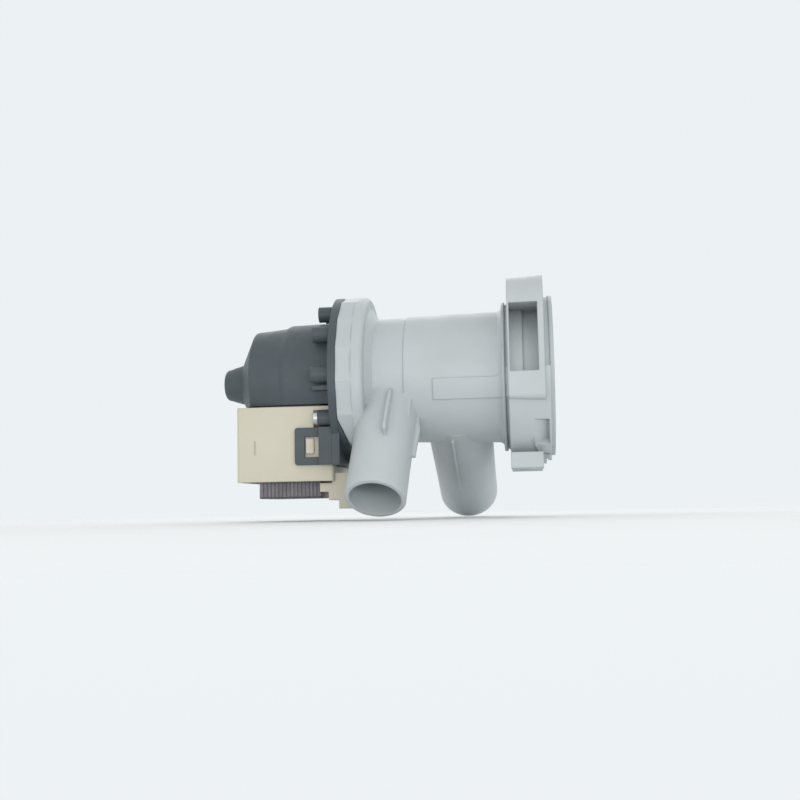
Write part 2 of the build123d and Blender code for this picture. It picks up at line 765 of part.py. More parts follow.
# Rotor can: flange plate, pilot, can with its nose, bosses, clip arms and apron
with BuildPart() as rotor_can:
    with BuildSketch(Plane.XZ):
        with BuildLine():
            Polyline((x_pilot, 0), (x_pilot, chamber_bore_r - pilot_gap),
                     (x_flange, chamber_bore_r - pilot_gap), (x_flange, flange_r - plate_edge),
                     (x_flange - plate_edge, flange_r), (x_plate, flange_r), (x_plate, can_r),
                     (x_can_end, can_r), (x_bell_end, bell_r), (x_nose_taper, nose_r),
                     (x_nose_end + nose_edge, nose_end_r))
            RadiusArc((x_nose_end + nose_edge, nose_end_r), (x_nose_end, nose_end_r - nose_edge),
                      -nose_edge)
            Polyline((x_nose_end, nose_end_r - nose_edge), (x_nose_end, 0), (x_pilot, 0))
        make_face()
    revolve(axis=Axis.X)
    # Lower corners of the plate that carry the clip arms
    with BuildSketch(Plane.YZ.offset(x_plate)):
        with Locations((0, -(plate_lug_top + plate_lug_low) / 2)):
            Rectangle(2 * plate_lug_half_width, plate_lug_low - plate_lug_top)
    extrude(amount=plate_thickness)
    # Screw bosses behind the plate
    for angles, length in ((sunk_angles, boss_length), (pan_angles, pan_boss_length)):
        with BuildSketch(Plane.YZ.offset(x_plate)):
            with places(angles):
                Circle(boss_r)
        extrude(amount=-length)
    # Clip arms along both sides of the coil cover
    for side in (-1, 1):
        arm_face = side * (cover_face + seat_gap)
        with BuildSketch(Plane.XZ.offset(-arm_face)) as arm:
            with Locations((x_plate - arm_length / 2, -(arm_top + arm_low) / 2)):
                Rectangle(arm_length, arm_low - arm_top)
            fillet(arm.vertices().group_by(Axis.X)[0], radius=arm_corner)
            with Locations((x_plate - arm_length + arm_window_back + arm_window_length / 2,
                            -(arm_window_top + arm_window_low) / 2)):
                Rectangle(arm_window_length, arm_window_low - arm_window_top, mode=Mode.SUBTRACT)
        extrude(amount=-side * arm_thickness)
        with BuildSketch(Plane.XZ.offset(-arm_face)):
            with Locations((x_plate - (arm_block_length - plate_thickness) / 2,
                            -(arm_top + arm_low) / 2)):
                Rectangle(arm_block_length + plate_thickness, arm_low - arm_top)
        extrude(amount=-side * arm_block_proud)
        with BuildSketch(Plane.XZ.offset(-arm_face - side * arm_block_proud)):
            with Locations((x_plate + arm_block_groove,
                            -(arm_top + arm_low - arm_block_band) / 2)):
                Rectangle(arm_block_groove_width, arm_low - arm_top - arm_block_band)
        extrude(amount=side * arm_block_groove, mode=Mode.SUBTRACT)
    # Apron under the skirt of the housing
    with BuildSketch(Plane.YZ.offset(x_flange)):
        Circle(flange_r - apron_gap)
        Circle(core_inner_r + apron_gap, mode=Mode.SUBTRACT)
    rotor_apron_ring = extrude(amount=apron_reach - apron_gap, mode=Mode.PRIVATE)
    with BuildSketch(Plane.XZ.offset(-flange_r)):
        with BuildLine():
            Polyline((x_flange, -apron_rise - apron_gap * 2),
                     (x_flange + apron_reach - apron_gap, -apron_foot),
                     (x_flange + apron_reach - apron_gap, -flange_r), (x_flange, -flange_r),
                     close=True)
        make_face()
    rotor_apron_prism = extrude(amount=2 * flange_r, mode=Mode.PRIVATE)
    add(rotor_apron_ring & rotor_apron_prism)
    # Bore of the can, of the nose and the seat of the bearing carrier
    with BuildSketch(Plane.XZ):
        with BuildLine():
            Polyline((x_pilot + over, 0), (x_pilot + over, carrier_flange_r + seat_gap),
                     (x_pilot - carrier_flange_thickness, carrier_flange_r + seat_gap),
                     (x_pilot - carrier_flange_thickness, can_bore_r),
                     (x_can_end + can_end_wall / 2, can_bore_r),
                     (x_bell_end + can_end_wall, nose_bore_r + can_end_wall),
                     (x_bell_end + can_end_wall, nose_bore_r),
                     (x_nose_end + nose_wall, nose_bore_r), (x_nose_end + nose_wall, 0),
                     close=True)
        make_face()
    revolve(axis=Axis.X, mode=Mode.SUBTRACT)
    # Screw holes and the recesses of the sunk screws
    with BuildSketch(Plane.YZ.offset(x_plate - boss_length - over)):
        with places(screw_angles):
            Circle(screw_hole_r)
    extrude(amount=boss_length + plate_thickness + apron_reach + 2 * over, mode=Mode.SUBTRACT)
    with BuildSketch(Plane.YZ.offset(x_plate - boss_length - over)):
        with places(sunk_angles):
            Circle(sunk_head_r + slide_gap)
    extrude(amount=boss_recess_depth + over, mode=Mode.SUBTRACT)
rotor_can.part.label = "rotor_can"

# Stator cover: half dome behind the plate, open below
with BuildPart() as stator_cover:
    x_dome_back = x_plate - dome_length
    x_dome_step = x_plate - dome_step_length
    with BuildSketch(Plane.XZ):
        with BuildLine():
            dome_line = FilletPolyline((x_plate, dome_front_r), (x_dome_step, dome_step_r),
                                       (x_dome_step - dome_step_slope, dome_r),
                                       (x_dome_back, dome_rear_r),
                                       (x_dome_back - dome_cone_length, dome_end_r),
                                       radius=dome_end_edge)
            Polyline(dome_line @ 1, (x_dome_back - dome_cone_length, 0), (x_plate, 0),
                     dome_line @ 0)
        make_face()
    revolve(axis=Axis.X)
    offset(amount=-dome_wall, openings=stator_cover.faces().filter_by(Axis.X).sort_by(Axis.X)[-1])
    # Way for the can
    with BuildSketch(Plane.XZ):
        with BuildLine():
            Polyline((x_plate + over, 0), (x_plate + over, can_r + slide_gap),
                     (x_can_end, can_r + slide_gap), (x_bell_end, bell_r + slide_gap),
                     (x_bell_end - over, bell_r + slide_gap), (x_bell_end - over, 0), close=True)
        make_face()
    revolve(axis=Axis.X, mode=Mode.SUBTRACT)
    split(bisect_by=Plane.XY.offset(dome_floor_gap - cover_top), keep=Keep.TOP)
    # Ledge beside the middle boss on each side
    for side in (-1, 1):
        with BuildSketch(Plane.XY.offset(-dome_ledge_drop - boss_r)):
            with Locations((x_plate - dome_ledge_length / 2,
                            side * (dome_step_r + (dome_ledge_reach - dome_wall) / 2))):
                Rectangle(dome_ledge_length, dome_ledge_reach + dome_wall)
        extrude(amount=-dome_ledge_height + boss_r)
stator_cover.part.label = "stator_cover"

# Stator core: a pack of U sheets whose poles embrace the can
with BuildPart() as stator_core:
    with BuildSketch(Plane.YZ.offset(x_core_back)):
        with Locations((0, (core_top - core_low) / 2)):
            Rectangle(2 * core_half_width, core_top + core_low)
        with Locations((0, (core_top - core_yoke_top) / 2)):
            Rectangle(2 * core_leg_inner, core_top + core_yoke_top, mode=Mode.SUBTRACT)
        Circle(pole_bore_r, mode=Mode.SUBTRACT)
    extrude(amount=core_length)
    fillet(stator_core.edges().filter_by(Axis.X).group_by(Axis.Z)[0], radius=core_corner)
    # Gaps between the sheets, where the yoke shows
    sheet_count = int(core_length / sheet_pitch) - 1
    with BuildSketch(Plane.XY.offset(-core_low)):
        for i in range(sheet_count):
            with Locations((x_core_back + sheet_pitch * (i + 1), 0)):
                Rectangle(sheet_groove_width, 2 * core_half_width)
    extrude(amount=sheet_groove_depth, mode=Mode.SUBTRACT)
    for side in (-1, 1):
        with BuildSketch(Plane.XZ.offset(-side * core_half_width)):
            for i in range(sheet_count):
                with Locations((x_core_back + sheet_pitch * (i + 1),
                                -(core_yoke_top + core_low) / 2)):
                    Rectangle(sheet_groove_width, core_low - core_yoke_top + sheet_groove_width)
        extrude(amount=side * sheet_groove_depth, mode=Mode.SUBTRACT)
stator_core.part.label = "stator_core"

# Coil cover: open box over both coils, with latches and the connector shroud
x_cover_back = x_core_back - cover_back_reach
x_cover_front = x_plate - flat_gap
with BuildPart() as coil_cover:
    cover_length = x_cover_front - x_cover_back
    with BuildSketch(Plane.XY.offset(-cover_low)):
        with Locations(((x_cover_front + x_cover_back) / 2, 0)):
            Rectangle(cover_length, 2 * cover_face)
    extrude(amount=cover_low - cover_top)
    fillet(coil_cover.edges().filter_by(Axis.Z), radius=cover_corner)
    # Connector shroud, stepped towards its open end
    x_socket_back = x_cover_front - socket_back_reach
    with BuildSketch(Plane.XZ.offset(socket_y - socket_half_width)):
        with BuildLine():
            Polyline((x_socket_back, -socket_top), (x_socket_back, -socket_low + socket_rise_one),
                     (x_socket_back + socket_step_one, -socket_low + socket_rise_one),
                     (x_socket_back + socket_step_one, -socket_low + socket_rise_two),
                     (x_socket_back + socket_step_two, -socket_low + socket_rise_two),
                     (x_socket_back + socket_step_two, -socket_low),
                     (x_socket_back + socket_length, -socket_low),
                     (x_socket_back + socket_length, -socket_top), close=True)
        make_face()
    extrude(amount=2 * socket_half_width)
    # Space for the coils and the core
    with BuildSketch(Plane.XY.offset(-cover_low - over)):
        with Locations(((x_cover_front + x_cover_back) / 2, 0)):
            Rectangle(cover_length - 2 * cover_wall, 2 * (cover_face - cover_wall))
    extrude(amount=cover_low - cover_top - cover_wall + over, mode=Mode.SUBTRACT)
    with BuildSketch(Plane.XY.offset(-cover_top - cover_wall - over)):
        with Locations((x_core_middle, 0)):
            Rectangle(core_length + 2 * slide_gap, 2 * (core_half_width + slide_gap))
    extrude(amount=cover_wall + 2 * over, mode=Mode.SUBTRACT)
    with BuildSketch(Plane.XZ.offset(core_half_width + slide_gap)):
        with Locations((x_core_middle, -core_low)):
            Rectangle(core_length + 2 * slide_gap, 2 * (core_low - cover_low) + cover_wall)
    extrude(amount=-2 * (core_half_width + slide_gap), mode=Mode.SUBTRACT)
    # Socket for the plug, its key ribs and the slots of the blades
    socket_middle = -(socket_low + socket_top) / 2
    socket_floor = -socket_low + socket_wall
    with BuildSketch(Plane.YZ.offset(x_socket_back + socket_length + over)):
        with Locations((-socket_y, socket_middle)):
            Rectangle(2 * (socket_half_width - socket_wall),
                      socket_low - socket_top - 2 * socket_wall)
        for side in (-1, 1):
            with Locations((-socket_y + side * blade_pitch / 2, socket_floor + key_height / 2)):
                Rectangle(key_width, key_height, mode=Mode.SUBTRACT)
    extrude(amount=-socket_depth - over, mode=Mode.SUBTRACT)
    with BuildSketch(Plane.YZ.offset(x_socket_back + socket_length)):
        for side in (-1, 1):
            with Locations((-socket_y + side * blade_pitch / 2, socket_middle)):
                Rectangle(blade_width + 2 * seat_gap, blade_thickness + 2 * seat_gap)
    extrude(amount=-socket_depth - blade_root, mode=Mode.SUBTRACT)
    # Notches round the lowest bosses
    notch_y, notch_z = polar_place(screw_circle_r, pan_angles[0])
    with BuildSketch(Plane.YZ.offset(x_plate - pan_boss_length - pan_head_height - flat_gap)):
        for side in (-1, 1):
            with Locations((side * (abs(notch_y) + over), notch_z)):
                Rectangle(2 * (boss_r + slide_gap + over), 2 * (boss_r + slide_gap))
    extrude(amount=pan_boss_length + pan_head_height + over, mode=Mode.SUBTRACT)
    # Latches in the windows of the clip arms
    x_latch = x_plate - arm_length + arm_window_back + latch_back_gap
    for side in (-1, 1):
        with BuildSketch(Plane.XY.offset(-arm_window_top - latch_drop - latch_height)):
            with BuildLine():
                Polyline((x_latch, side * (cover_face - cover_wall / 2)),
                         (x_latch, side * (cover_face + latch_proud)),
                         (x_latch + latch_length, side * (cover_face + latch_proud / 2)),
                         (x_latch + latch_length, side * (cover_face - cover_wall / 2)), close=True)
            make_face()
        extrude(amount=latch_height)
        # Small gate recess
        with BuildSketch(Plane.XZ.offset(-side * cover_face)):
            with Locations((x_cover_back + cover_gate_setback,
                            -(arm_window_top + arm_window_low) / 2)):
                Rectangle(cover_gate_width, cover_gate_height)
        extrude(amount=side * cover_gate_depth, mode=Mode.SUBTRACT)
coil_cover.part.label = "coil_cover"

# Blades of the connector
with BuildPart() as terminal_blades:
    x_blade_back = x_socket_back + socket_length - socket_depth - blade_root + seat_gap
    with BuildSketch(Plane.YZ.offset(x_blade_back)):
        for side in (-1, 1):
            with Locations((-socket_y + side * blade_pitch / 2, socket_middle)):
                Rectangle(blade_width, blade_thickness)
    extrude(amount=blade_root + blade_reach)
terminal_blades.part.label = "terminal_blades"


def coil_bobbin(side):
    """Former round one leg of the core: a sleeve between two flanges."""
    leg_middle = side * (core_half_width + core_leg_inner) / 2
    leg_width = core_half_width - core_leg_inner
    with BuildPart() as bobbin:
        for z, width, height in ((-bobbin_low, winding_thickness, bobbin_flange),
                                 (-bobbin_low, 0, bobbin_low - bobbin_top),
                                 (-bobbin_top - bobbin_flange, winding_thickness, bobbin_flange)):
            with BuildSketch(Plane.XY.offset(z)):
                with Locations((x_core_middle, leg_middle)):
                    Rectangle(core_length + 2 * (slide_gap + bobbin_wall + width),
                              leg_width + 2 * (slide_gap + bobbin_wall + width))
            extrude(amount=height)
        with BuildSketch(Plane.XY.offset(-bobbin_low - over)):
            with Locations((x_core_middle, leg_middle)):
                Rectangle(core_length + 2 * slide_gap, leg_width + 2 * slide_gap)
        extrude(amount=bobbin_low - bobbin_top + 2 * over, mode=Mode.SUBTRACT)
    return bobbin.part


def coil_winding(side):
    """Copper wound on one former, its corners rounded by the wire."""
    leg_middle = side * (core_half_width + core_leg_inner) / 2
    leg_width = core_half_width - core_leg_inner
    inner_length = core_length + 2 * (slide_gap + bobbin_wall + shaft_gap)
    inner_width = leg_width + 2 * (slide_gap + bobbin_wall + shaft_gap)
    depth = winding_thickness - seat_gap
    with BuildPart() as winding:
        with BuildSketch(Plane.XY.offset(-bobbin_low + bobbin_flange)):
            with Locations((x_core_middle, leg_middle)):
                RectangleRounded(inner_length + 2 * depth, inner_width + 2 * depth, depth)
                Rectangle(inner_length, inner_width, mode=Mode.SUBTRACT)
        extrude(amount=bobbin_low - bobbin_top - 2 * bobbin_flange)
    return winding.part


bobbin_near = coil_bobbin(-1)
bobbin_near.label = "bobbin_near"
bobbin_far = coil_bobbin(1)
bobbin_far.label = "bobbin_far"
winding_near = coil_winding(-1)
winding_near.label = "winding_near"
winding_far = coil_winding(1)
winding_far.label = "winding_far"

# Thermal protector on the back of the near winding
with BuildPart() as thermal_protector:
    x_protector = x_core_back - slide_gap - bobbin_wall - winding_thickness - protector_length
    with BuildSketch(Plane.XY.offset(-protector_top - protector_height)):
        with Locations((x_protector + protector_length / 2 - flat_gap,
                        -(core_half_width + core_leg_inner) / 2)):
            Rectangle(protector_length, protector_width)
    extrude(amount=protector_height)
    fillet(thermal_protector.edges().filter_by(Axis.Z), radius=protector_edge)
thermal_protector.part.label = "thermal_protector"

# Gasket between the housing and the rotor can
with BuildPart() as housing_gasket:
    gasket_r = (gasket_groove_depth - shaft_gap * 2) / 2
    with BuildSketch(Plane.XZ):
        with Locations((x_flange + gasket_r + shaft_gap, gasket_bore_r + gasket_groove_width / 2)):
            Circle(gasket_r)
    revolve(axis=Axis.X)
housing_gasket.part.label = "housing_gasket"

# Sunk screws
with BuildPart() as cover_screws:
    x_sunk = x_plate - boss_length + boss_recess_depth
    with BuildSketch(Plane.YZ.offset(x_sunk)):
        with places(sunk_angles):
            Circle(sunk_head_r)
    extrude(amount=-sunk_head_height)
    with BuildSketch(Plane.YZ.offset(x_sunk)):
        with places(sunk_angles):
            Circle(shank_r)
    extrude(amount=x_flange + screw_bite - x_sunk)
    with BuildSketch(Plane.YZ.offset(x_sunk - sunk_head_height)):
        with places(sunk_angles):
            RegularPolygon(drive_recess_r, 6)
    extrude(amount=drive_recess_depth, mode=Mode.SUBTRACT)
cover_screws.part.label = "cover_screws"

# Pan head screws with washers on the lower side bosses
with BuildPart() as flange_screws:
    x_pan = x_plate - pan_boss_length
    with BuildSketch(Plane.YZ.offset(x_pan)):
        with places(pan_angles):
            Circle(boss_r)
    extrude(amount=-washer_thickness)
    with BuildSketch(Plane.YZ.offset(x_pan - washer_thickness)):
        with places(pan_angles):
            Circle(pan_head_r)
    extrude(amount=-pan_head_height + washer_thickness)
    fillet(flange_screws.edges().filter_by(GeomType.CIRCLE).group_by(Axis.X)[0], radius=head_edge)
    with BuildSketch(Plane.YZ.offset(x_pan)):
        with places(pan_angles):
            Circle(shank_r)
    extrude(amount=x_flange + screw_bite - x_pan)
    with BuildSketch(Plane.YZ.offset(x_pan - pan_head_height)):
        with places(pan_angles):
            RegularPolygon(drive_recess_r, 6)
    extrude(amount=drive_recess_depth, mode=Mode.SUBTRACT)
flange_screws.part.label = "flange_screws"

# Bearing carrier, plugged into the front of the can
x_carrier_back = x_pilot - carrier_flange_thickness - carrier_plug_length
x_front_bearing = x_carrier_back + carrier_lip + seat_gap
x_seal = x_pilot - shaft_seal_length
with BuildPart() as bearing_carrier:
    with BuildSketch(Plane.XZ):
        with BuildLine():
            Polyline((x_pilot, shaft_seal_r), (x_pilot, carrier_flange_r),
                     (x_pilot - carrier_flange_thickness, carrier_flange_r),
                     (x_pilot - carrier_flange_thickness, can_bore_r - seat_gap),
                     (x_carrier_back, can_bore_r - seat_gap),
                     (x_carrier_back, shaft_r + slide_gap),
                     (x_carrier_back + carrier_lip, shaft_r + slide_gap),
                     (x_carrier_back + carrier_lip, bearing_r + shaft_gap),
                     (x_seal, bearing_r + shaft_gap), (x_seal, shaft_seal_r), close=True)
        make_face()
    revolve(axis=Axis.X)
    with BuildSketch(Plane.XZ):
        with Locations((x_carrier_back + ring_groove_setback + ring_groove_width / 2,
                        can_bore_r - seat_gap - ring_groove_depth / 2 + over / 2)):
            Rectangle(ring_groove_width, ring_groove_depth + over)
    revolve(axis=Axis.X, mode=Mode.SUBTRACT)
bearing_carrier.part.label = "bearing_carrier"

# Ring seal round the carrier
with BuildPart() as carrier_seal:
    carrier_ring_r = (ring_groove_depth + seat_gap - 2 * shaft_gap) / 2
    with BuildSketch(Plane.XZ):
        with Locations((x_carrier_back + ring_groove_setback + ring_groove_width / 2,
                        can_bore_r - shaft_gap - carrier_ring_r)):
            Circle(carrier_ring_r)
    revolve(axis=Axis.X)
carrier_seal.part.label = "carrier_seal"


def ring(x_low, length, inner_r, outer_r):
    """Plain ring about the axis."""
    with BuildPart() as turned:
        with BuildSketch(Plane.YZ.offset(x_low)):
            Circle(outer_r)
            Circle(inner_r, mode=Mode.SUBTRACT)
        extrude(amount=length)
    return turned.part


front_bearing = ring(x_front_bearing, bearing_length, shaft_r + shaft_gap, bearing_r)
front_bearing.label = "front_bearing"
x_rear_bearing = x_nose_end + nose_wall + sleeve_end_gap
rear_bearing = ring(x_rear_bearing, bearing_length, shaft_r + shaft_gap, bearing_r)
rear_bearing.label = "rear_bearing"
rear_bearing_sleeve = ring(x_rear_bearing - sleeve_end_gap + seat_gap,
                           bearing_length + sleeve_end_gap - seat_gap,
                           bearing_r + shaft_gap, nose_bore_r - seat_gap)
rear_bearing_sleeve.label = "rear_bearing_sleeve"

# Lip seal of the shaft
with BuildPart() as shaft_seal:
    with BuildSketch(Plane.XZ):
        with BuildLine():
            Polyline((x_seal + shaft_gap, shaft_seal_r - shaft_gap),
                     (x_pilot, shaft_seal_r - shaft_gap),
                     (x_pilot, shaft_seal_hollow_r + shaft_seal_lip),
                     (x_seal + shaft_seal_lip, shaft_seal_hollow_r),
                     (x_pilot - shaft_seal_lip, shaft_r + shaft_seal_lip),
                     (x_pilot - shaft_seal_lip, shaft_r + shaft_gap),
                     (x_seal + shaft_gap, shaft_seal_hollow_r - shaft_seal_lip), close=True)
        make_face()
    revolve(axis=Axis.X)
shaft_seal.part.label = "shaft_seal"

# Thrust washers at both ends of the magnet core
x_front_washer = x_carrier_back - thrust_washer_thickness - seat_gap
x_rear_washer = x_rear_bearing + bearing_length + seat_gap
front_thrust_washer = ring(x_front_washer, thrust_washer_thickness, shaft_r + shaft_gap,
                           thrust_washer_r)
front_thrust_washer.label = "front_thrust_washer"
rear_thrust_washer = ring(x_rear_washer, thrust_washer_thickness, shaft_r + shaft_gap,
                          thrust_washer_r)
rear_thrust_washer.label = "rear_thrust_washer"

# Magnet, and the moulded core that carries it on the shaft
x_magnet = x_core_middle - magnet_length / 2
rotor_magnet = ring(x_magnet, magnet_length, magnet_core_r + shaft_gap, magnet_r)
rotor_magnet.label = "rotor_magnet"
x_hub_back = x_rear_washer + thrust_washer_thickness + flat_gap
x_hub_front = x_front_washer - flat_gap
with BuildPart() as magnet_core:
    with BuildSketch(Plane.YZ.offset(x_hub_back)):
        Circle(magnet_core_r)
    extrude(amount=x_hub_front - x_hub_back)
    with BuildSketch(Plane.YZ.offset(x_magnet + magnet_length)):
        Circle(magnet_flange_r)
    extrude(amount=magnet_flange_thickness)
    with BuildSketch(Plane.YZ.offset(x_magnet)):
        Circle(magnet_flange_r)
    extrude(amount=-magnet_flange_thickness)
    with BuildSketch(Plane.YZ.offset(x_hub_back - over)):
        Circle(shaft_r + shaft_gap)
    extrude(amount=x_hub_front - x_hub_back + 2 * over, mode=Mode.SUBTRACT)
magnet_core.part.label = "magnet_core"

# Stations of the impeller
x_impeller = x_pilot + impeller_gap
x_cavity = x_impeller + hub_cover_thickness
x_cavity_front = x_impeller + hub_length - hub_front_wall
x_hub_nose = x_impeller + hub_length
x_dog = x_cavity + slide_gap
dog_length = x_cavity_front - x_cavity - 2 * slide_gap
x_clip = x_hub_nose + flat_gap
x_shaft_front = x_clip + clip_thickness + shaft_front

# Shaft with the groove of its clip
with BuildPart() as rotor_shaft:
    with BuildSketch(Plane.YZ.offset(x_rear_bearing)):
        Circle(shaft_r)
    extrude(amount=x_shaft_front - x_rear_bearing)
    with BuildSketch(Plane.YZ.offset(x_clip - shaft_gap)):
        Circle(shaft_r + over)
        Circle(shaft_r - clip_groove_depth, mode=Mode.SUBTRACT)
    extrude(amount=clip_thickness + 2 * shaft_gap, mode=Mode.SUBTRACT)
rotor_shaft.part.label = "rotor_shaft"

# Dog that drives the impeller with two arms
dog_arm = ring_sector(dog_hub_r - over, dog_r, 0.0, dog_arm_arc)
with BuildPart() as drive_dog:
    with BuildSketch(Plane.YZ.offset(x_dog)):
        Circle(dog_hub_r)
        add(dog_arm)
        add(dog_arm, rotation=180.0)
        Circle(shaft_r + shaft_gap, mode=Mode.SUBTRACT)
    extrude(amount=dog_length)
drive_dog.part.label = "drive_dog"

# Impeller: hub cup with two stops, back disc and straight vanes
stop_zone = ring_sector(dog_hub_r + slide_gap, hub_cavity_r + over / 2, 90.0, stop_arc)
with BuildPart() as impeller:
    with BuildSketch(Plane.YZ.offset(x_impeller)):
        Circle(vane_r)
    extrude(amount=disc_thickness)
    with BuildSketch(Plane.YZ.offset(x_impeller)):
        Circle(hub_r)
    extrude(amount=hub_length)
    for i in range(vane_count):
        vane_plane = Plane.XZ.rotated((360.0 / vane_count * i, 0, 0))
        with BuildSketch(vane_plane.offset(-vane_thickness / 2)):
            with BuildLine():
                Polyline((x_impeller, hub_cavity_r + over / 2), (x_impeller, vane_r),
                         (x_impeller + vane_length - vane_tip_drop, vane_r),
                         (x_impeller + vane_length, vane_r - vane_tip_drop),
                         (x_impeller + vane_length, vane_inner_r), (x_hub_nose, vane_inner_r),
                         (x_hub_nose - hub_front_wall / 2, hub_cavity_r + over / 2), close=True)
            make_face()
        extrude(amount=vane_thickness)
    with BuildSketch(Plane.YZ.offset(x_impeller - over)):
        Circle(hub_cover_r + seat_gap)
    extrude(amount=hub_cover_thickness + over, mode=Mode.SUBTRACT)
    with BuildSketch(Plane.YZ.offset(x_cavity - over)):
        Circle(hub_cavity_r)
    extrude(amount=x_cavity_front - x_cavity + over, mode=Mode.SUBTRACT)
    with BuildSketch(Plane.YZ.offset(x_cavity)):
        add(stop_zone)
        add(stop_zone, rotation=180.0)
    extrude(amount=x_cavity_front - x_cavity)
    with BuildSketch(Plane.YZ.offset(x_cavity_front - over)):
        Circle(shaft_r + shaft_gap)
    extrude(amount=hub_front_wall + 2 * over, mode=Mode.SUBTRACT)
impeller.part.label = "impeller"

# Rubber pads on both sides of each stop
pad_offset = stop_arc / 2 + pad_gap_arc + pad_arc / 2
with BuildPart() as stop_pads:
    with BuildSketch(Plane.YZ.offset(x_cavity + seat_gap)):
        for stop_angle in (90.0, 270.0):
            for side in (-1, 1):
                add(ring_sector(dog_hub_r + slide_gap, hub_cavity_r - shaft_gap,
                                stop_angle + side * pad_offset, pad_arc))
    extrude(amount=x_cavity_front - x_cavity - 2 * seat_gap)
stop_pads.part.label = "stop_pads"

hub_cover = ring(x_impeller, hub_cover_thickness, hub_cover_bore_r, hub_cover_r)
hub_cover.label = "hub_cover"

# Clip on the front of the shaft
with BuildPart() as retaining_clip:
    with BuildSketch(Plane.YZ.offset(x_clip)):
        Circle(clip_r)
        Circle(shaft_r - clip_groove_depth + shaft_gap, mode=Mode.SUBTRACT)
        with Locations((0, -clip_r)):
            Rectangle(clip_slot, 2 * clip_r, mode=Mode.SUBTRACT)
    extrude(amount=clip_thickness)
retaining_clip.part.label = "retaining_clip"

pieces = [pump_housing.part, rotor_can.part, stator_cover.part, stator_core.part,
          coil_cover.part, terminal_blades.part, bobbin_near, bobbin_far, winding_near,
          winding_far, thermal_protector.part, housing_gasket.part, cover_screws.part,
          flange_screws.part, bearing_carrier.part, carrier_seal.part, front_bearing,
          rear_bearing, rear_bearing_sleeve, shaft_seal.part, front_thrust_washer,
          rear_thrust_washer, rotor_magnet, magnet_core.part, rotor_shaft.part,
          drive_dog.part, impeller.part, stop_pads.part, hub_cover, retaining_clip.part]

os.makedirs("parts", exist_ok=True)
for piece in pieces:
    export_step(piece, "parts/" + piece.label + ".step")
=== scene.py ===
import json
import math

import bmesh
import bpy
from mathutils import Matrix, Vector


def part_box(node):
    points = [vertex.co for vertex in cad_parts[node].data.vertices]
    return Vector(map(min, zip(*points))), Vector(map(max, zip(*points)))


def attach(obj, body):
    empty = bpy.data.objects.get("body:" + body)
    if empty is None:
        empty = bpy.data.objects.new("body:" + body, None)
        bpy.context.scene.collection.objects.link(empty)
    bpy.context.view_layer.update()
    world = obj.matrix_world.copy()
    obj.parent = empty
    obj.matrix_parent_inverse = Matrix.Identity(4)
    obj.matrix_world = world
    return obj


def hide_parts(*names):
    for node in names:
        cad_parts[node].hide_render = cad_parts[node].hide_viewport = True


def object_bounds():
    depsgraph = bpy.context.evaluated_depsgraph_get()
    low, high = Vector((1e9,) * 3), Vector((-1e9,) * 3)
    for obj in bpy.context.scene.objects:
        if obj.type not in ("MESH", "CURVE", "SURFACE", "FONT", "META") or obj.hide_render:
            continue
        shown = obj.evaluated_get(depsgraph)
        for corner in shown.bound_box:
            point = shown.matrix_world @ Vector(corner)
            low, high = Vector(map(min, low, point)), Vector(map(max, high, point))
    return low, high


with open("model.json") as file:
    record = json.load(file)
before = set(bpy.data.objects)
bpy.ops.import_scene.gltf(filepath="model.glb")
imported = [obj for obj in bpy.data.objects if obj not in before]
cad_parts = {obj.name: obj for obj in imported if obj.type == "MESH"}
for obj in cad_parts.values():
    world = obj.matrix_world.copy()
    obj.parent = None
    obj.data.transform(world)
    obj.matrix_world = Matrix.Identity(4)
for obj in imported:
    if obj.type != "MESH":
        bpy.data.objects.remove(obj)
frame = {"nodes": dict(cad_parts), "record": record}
nodes = frame["nodes"]
cad_low, cad_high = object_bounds()

# Camera: place, direction, tilt of the picture and lens of the photograph
CAMERA_PLACE = Vector((-0.0143, -0.5830, -0.0670))
CAMERA_LOOK = Vector((-0.1127, 0.9890, 0.0958)).normalized()
CAMERA_TILT = math.radians(1.1)
CAMERA_LENS = 49.95
CAMERA_SENSOR = 36.0
CAMERA_CLIP = (0.01, 50.0)

# Soft light of the world, and the colour that shows behind the object
SOFT_COLOUR = (0.99, 1.0, 1.0)
SOFT_STRENGTH = 0.80
BACKDROP = (0.84, 0.88, 0.90)

# Area lights: name, place, point aimed at, size and watts
LIGHTS = (
    ("key", (-0.35, -0.75, 0.65), (-0.08, 0, 0), (1.1, 1.1), 0.4),
    ("fill", (0.45, -0.8, 0.02), (-0.06, 0, -0.04), (0.7, 0.16), 1.2),
    ("back", (-0.1, 0.8, 0.6), (-0.08, 0, 0), (0.9, 0.5), 2.0),
    ("front", (-0.06, -0.95, 0.02), (-0.08, 0, -0.03), (0.9, 0.18), 1.9),
)

# Floor: a disc just under the object, clear beyond the far end of its fade
FLOOR_COLOUR = (0.91, 0.93, 0.94)
FLOOR_MOTTLE = (0.98, 1.02)
FLOOR_CLOUD_SCALE = 14.0
FLOOR_ROUGHNESS = 0.9
FLOOR_SPECULAR = 0.1
FLOOR_RADIUS = 2.0
FLOOR_SEGMENTS = 96
FLOOR_DROP = 0.0004
FLOOR_FADE = (0.16, 0.60)
OBJECT_MIDDLE = (cad_low + cad_high) / 2


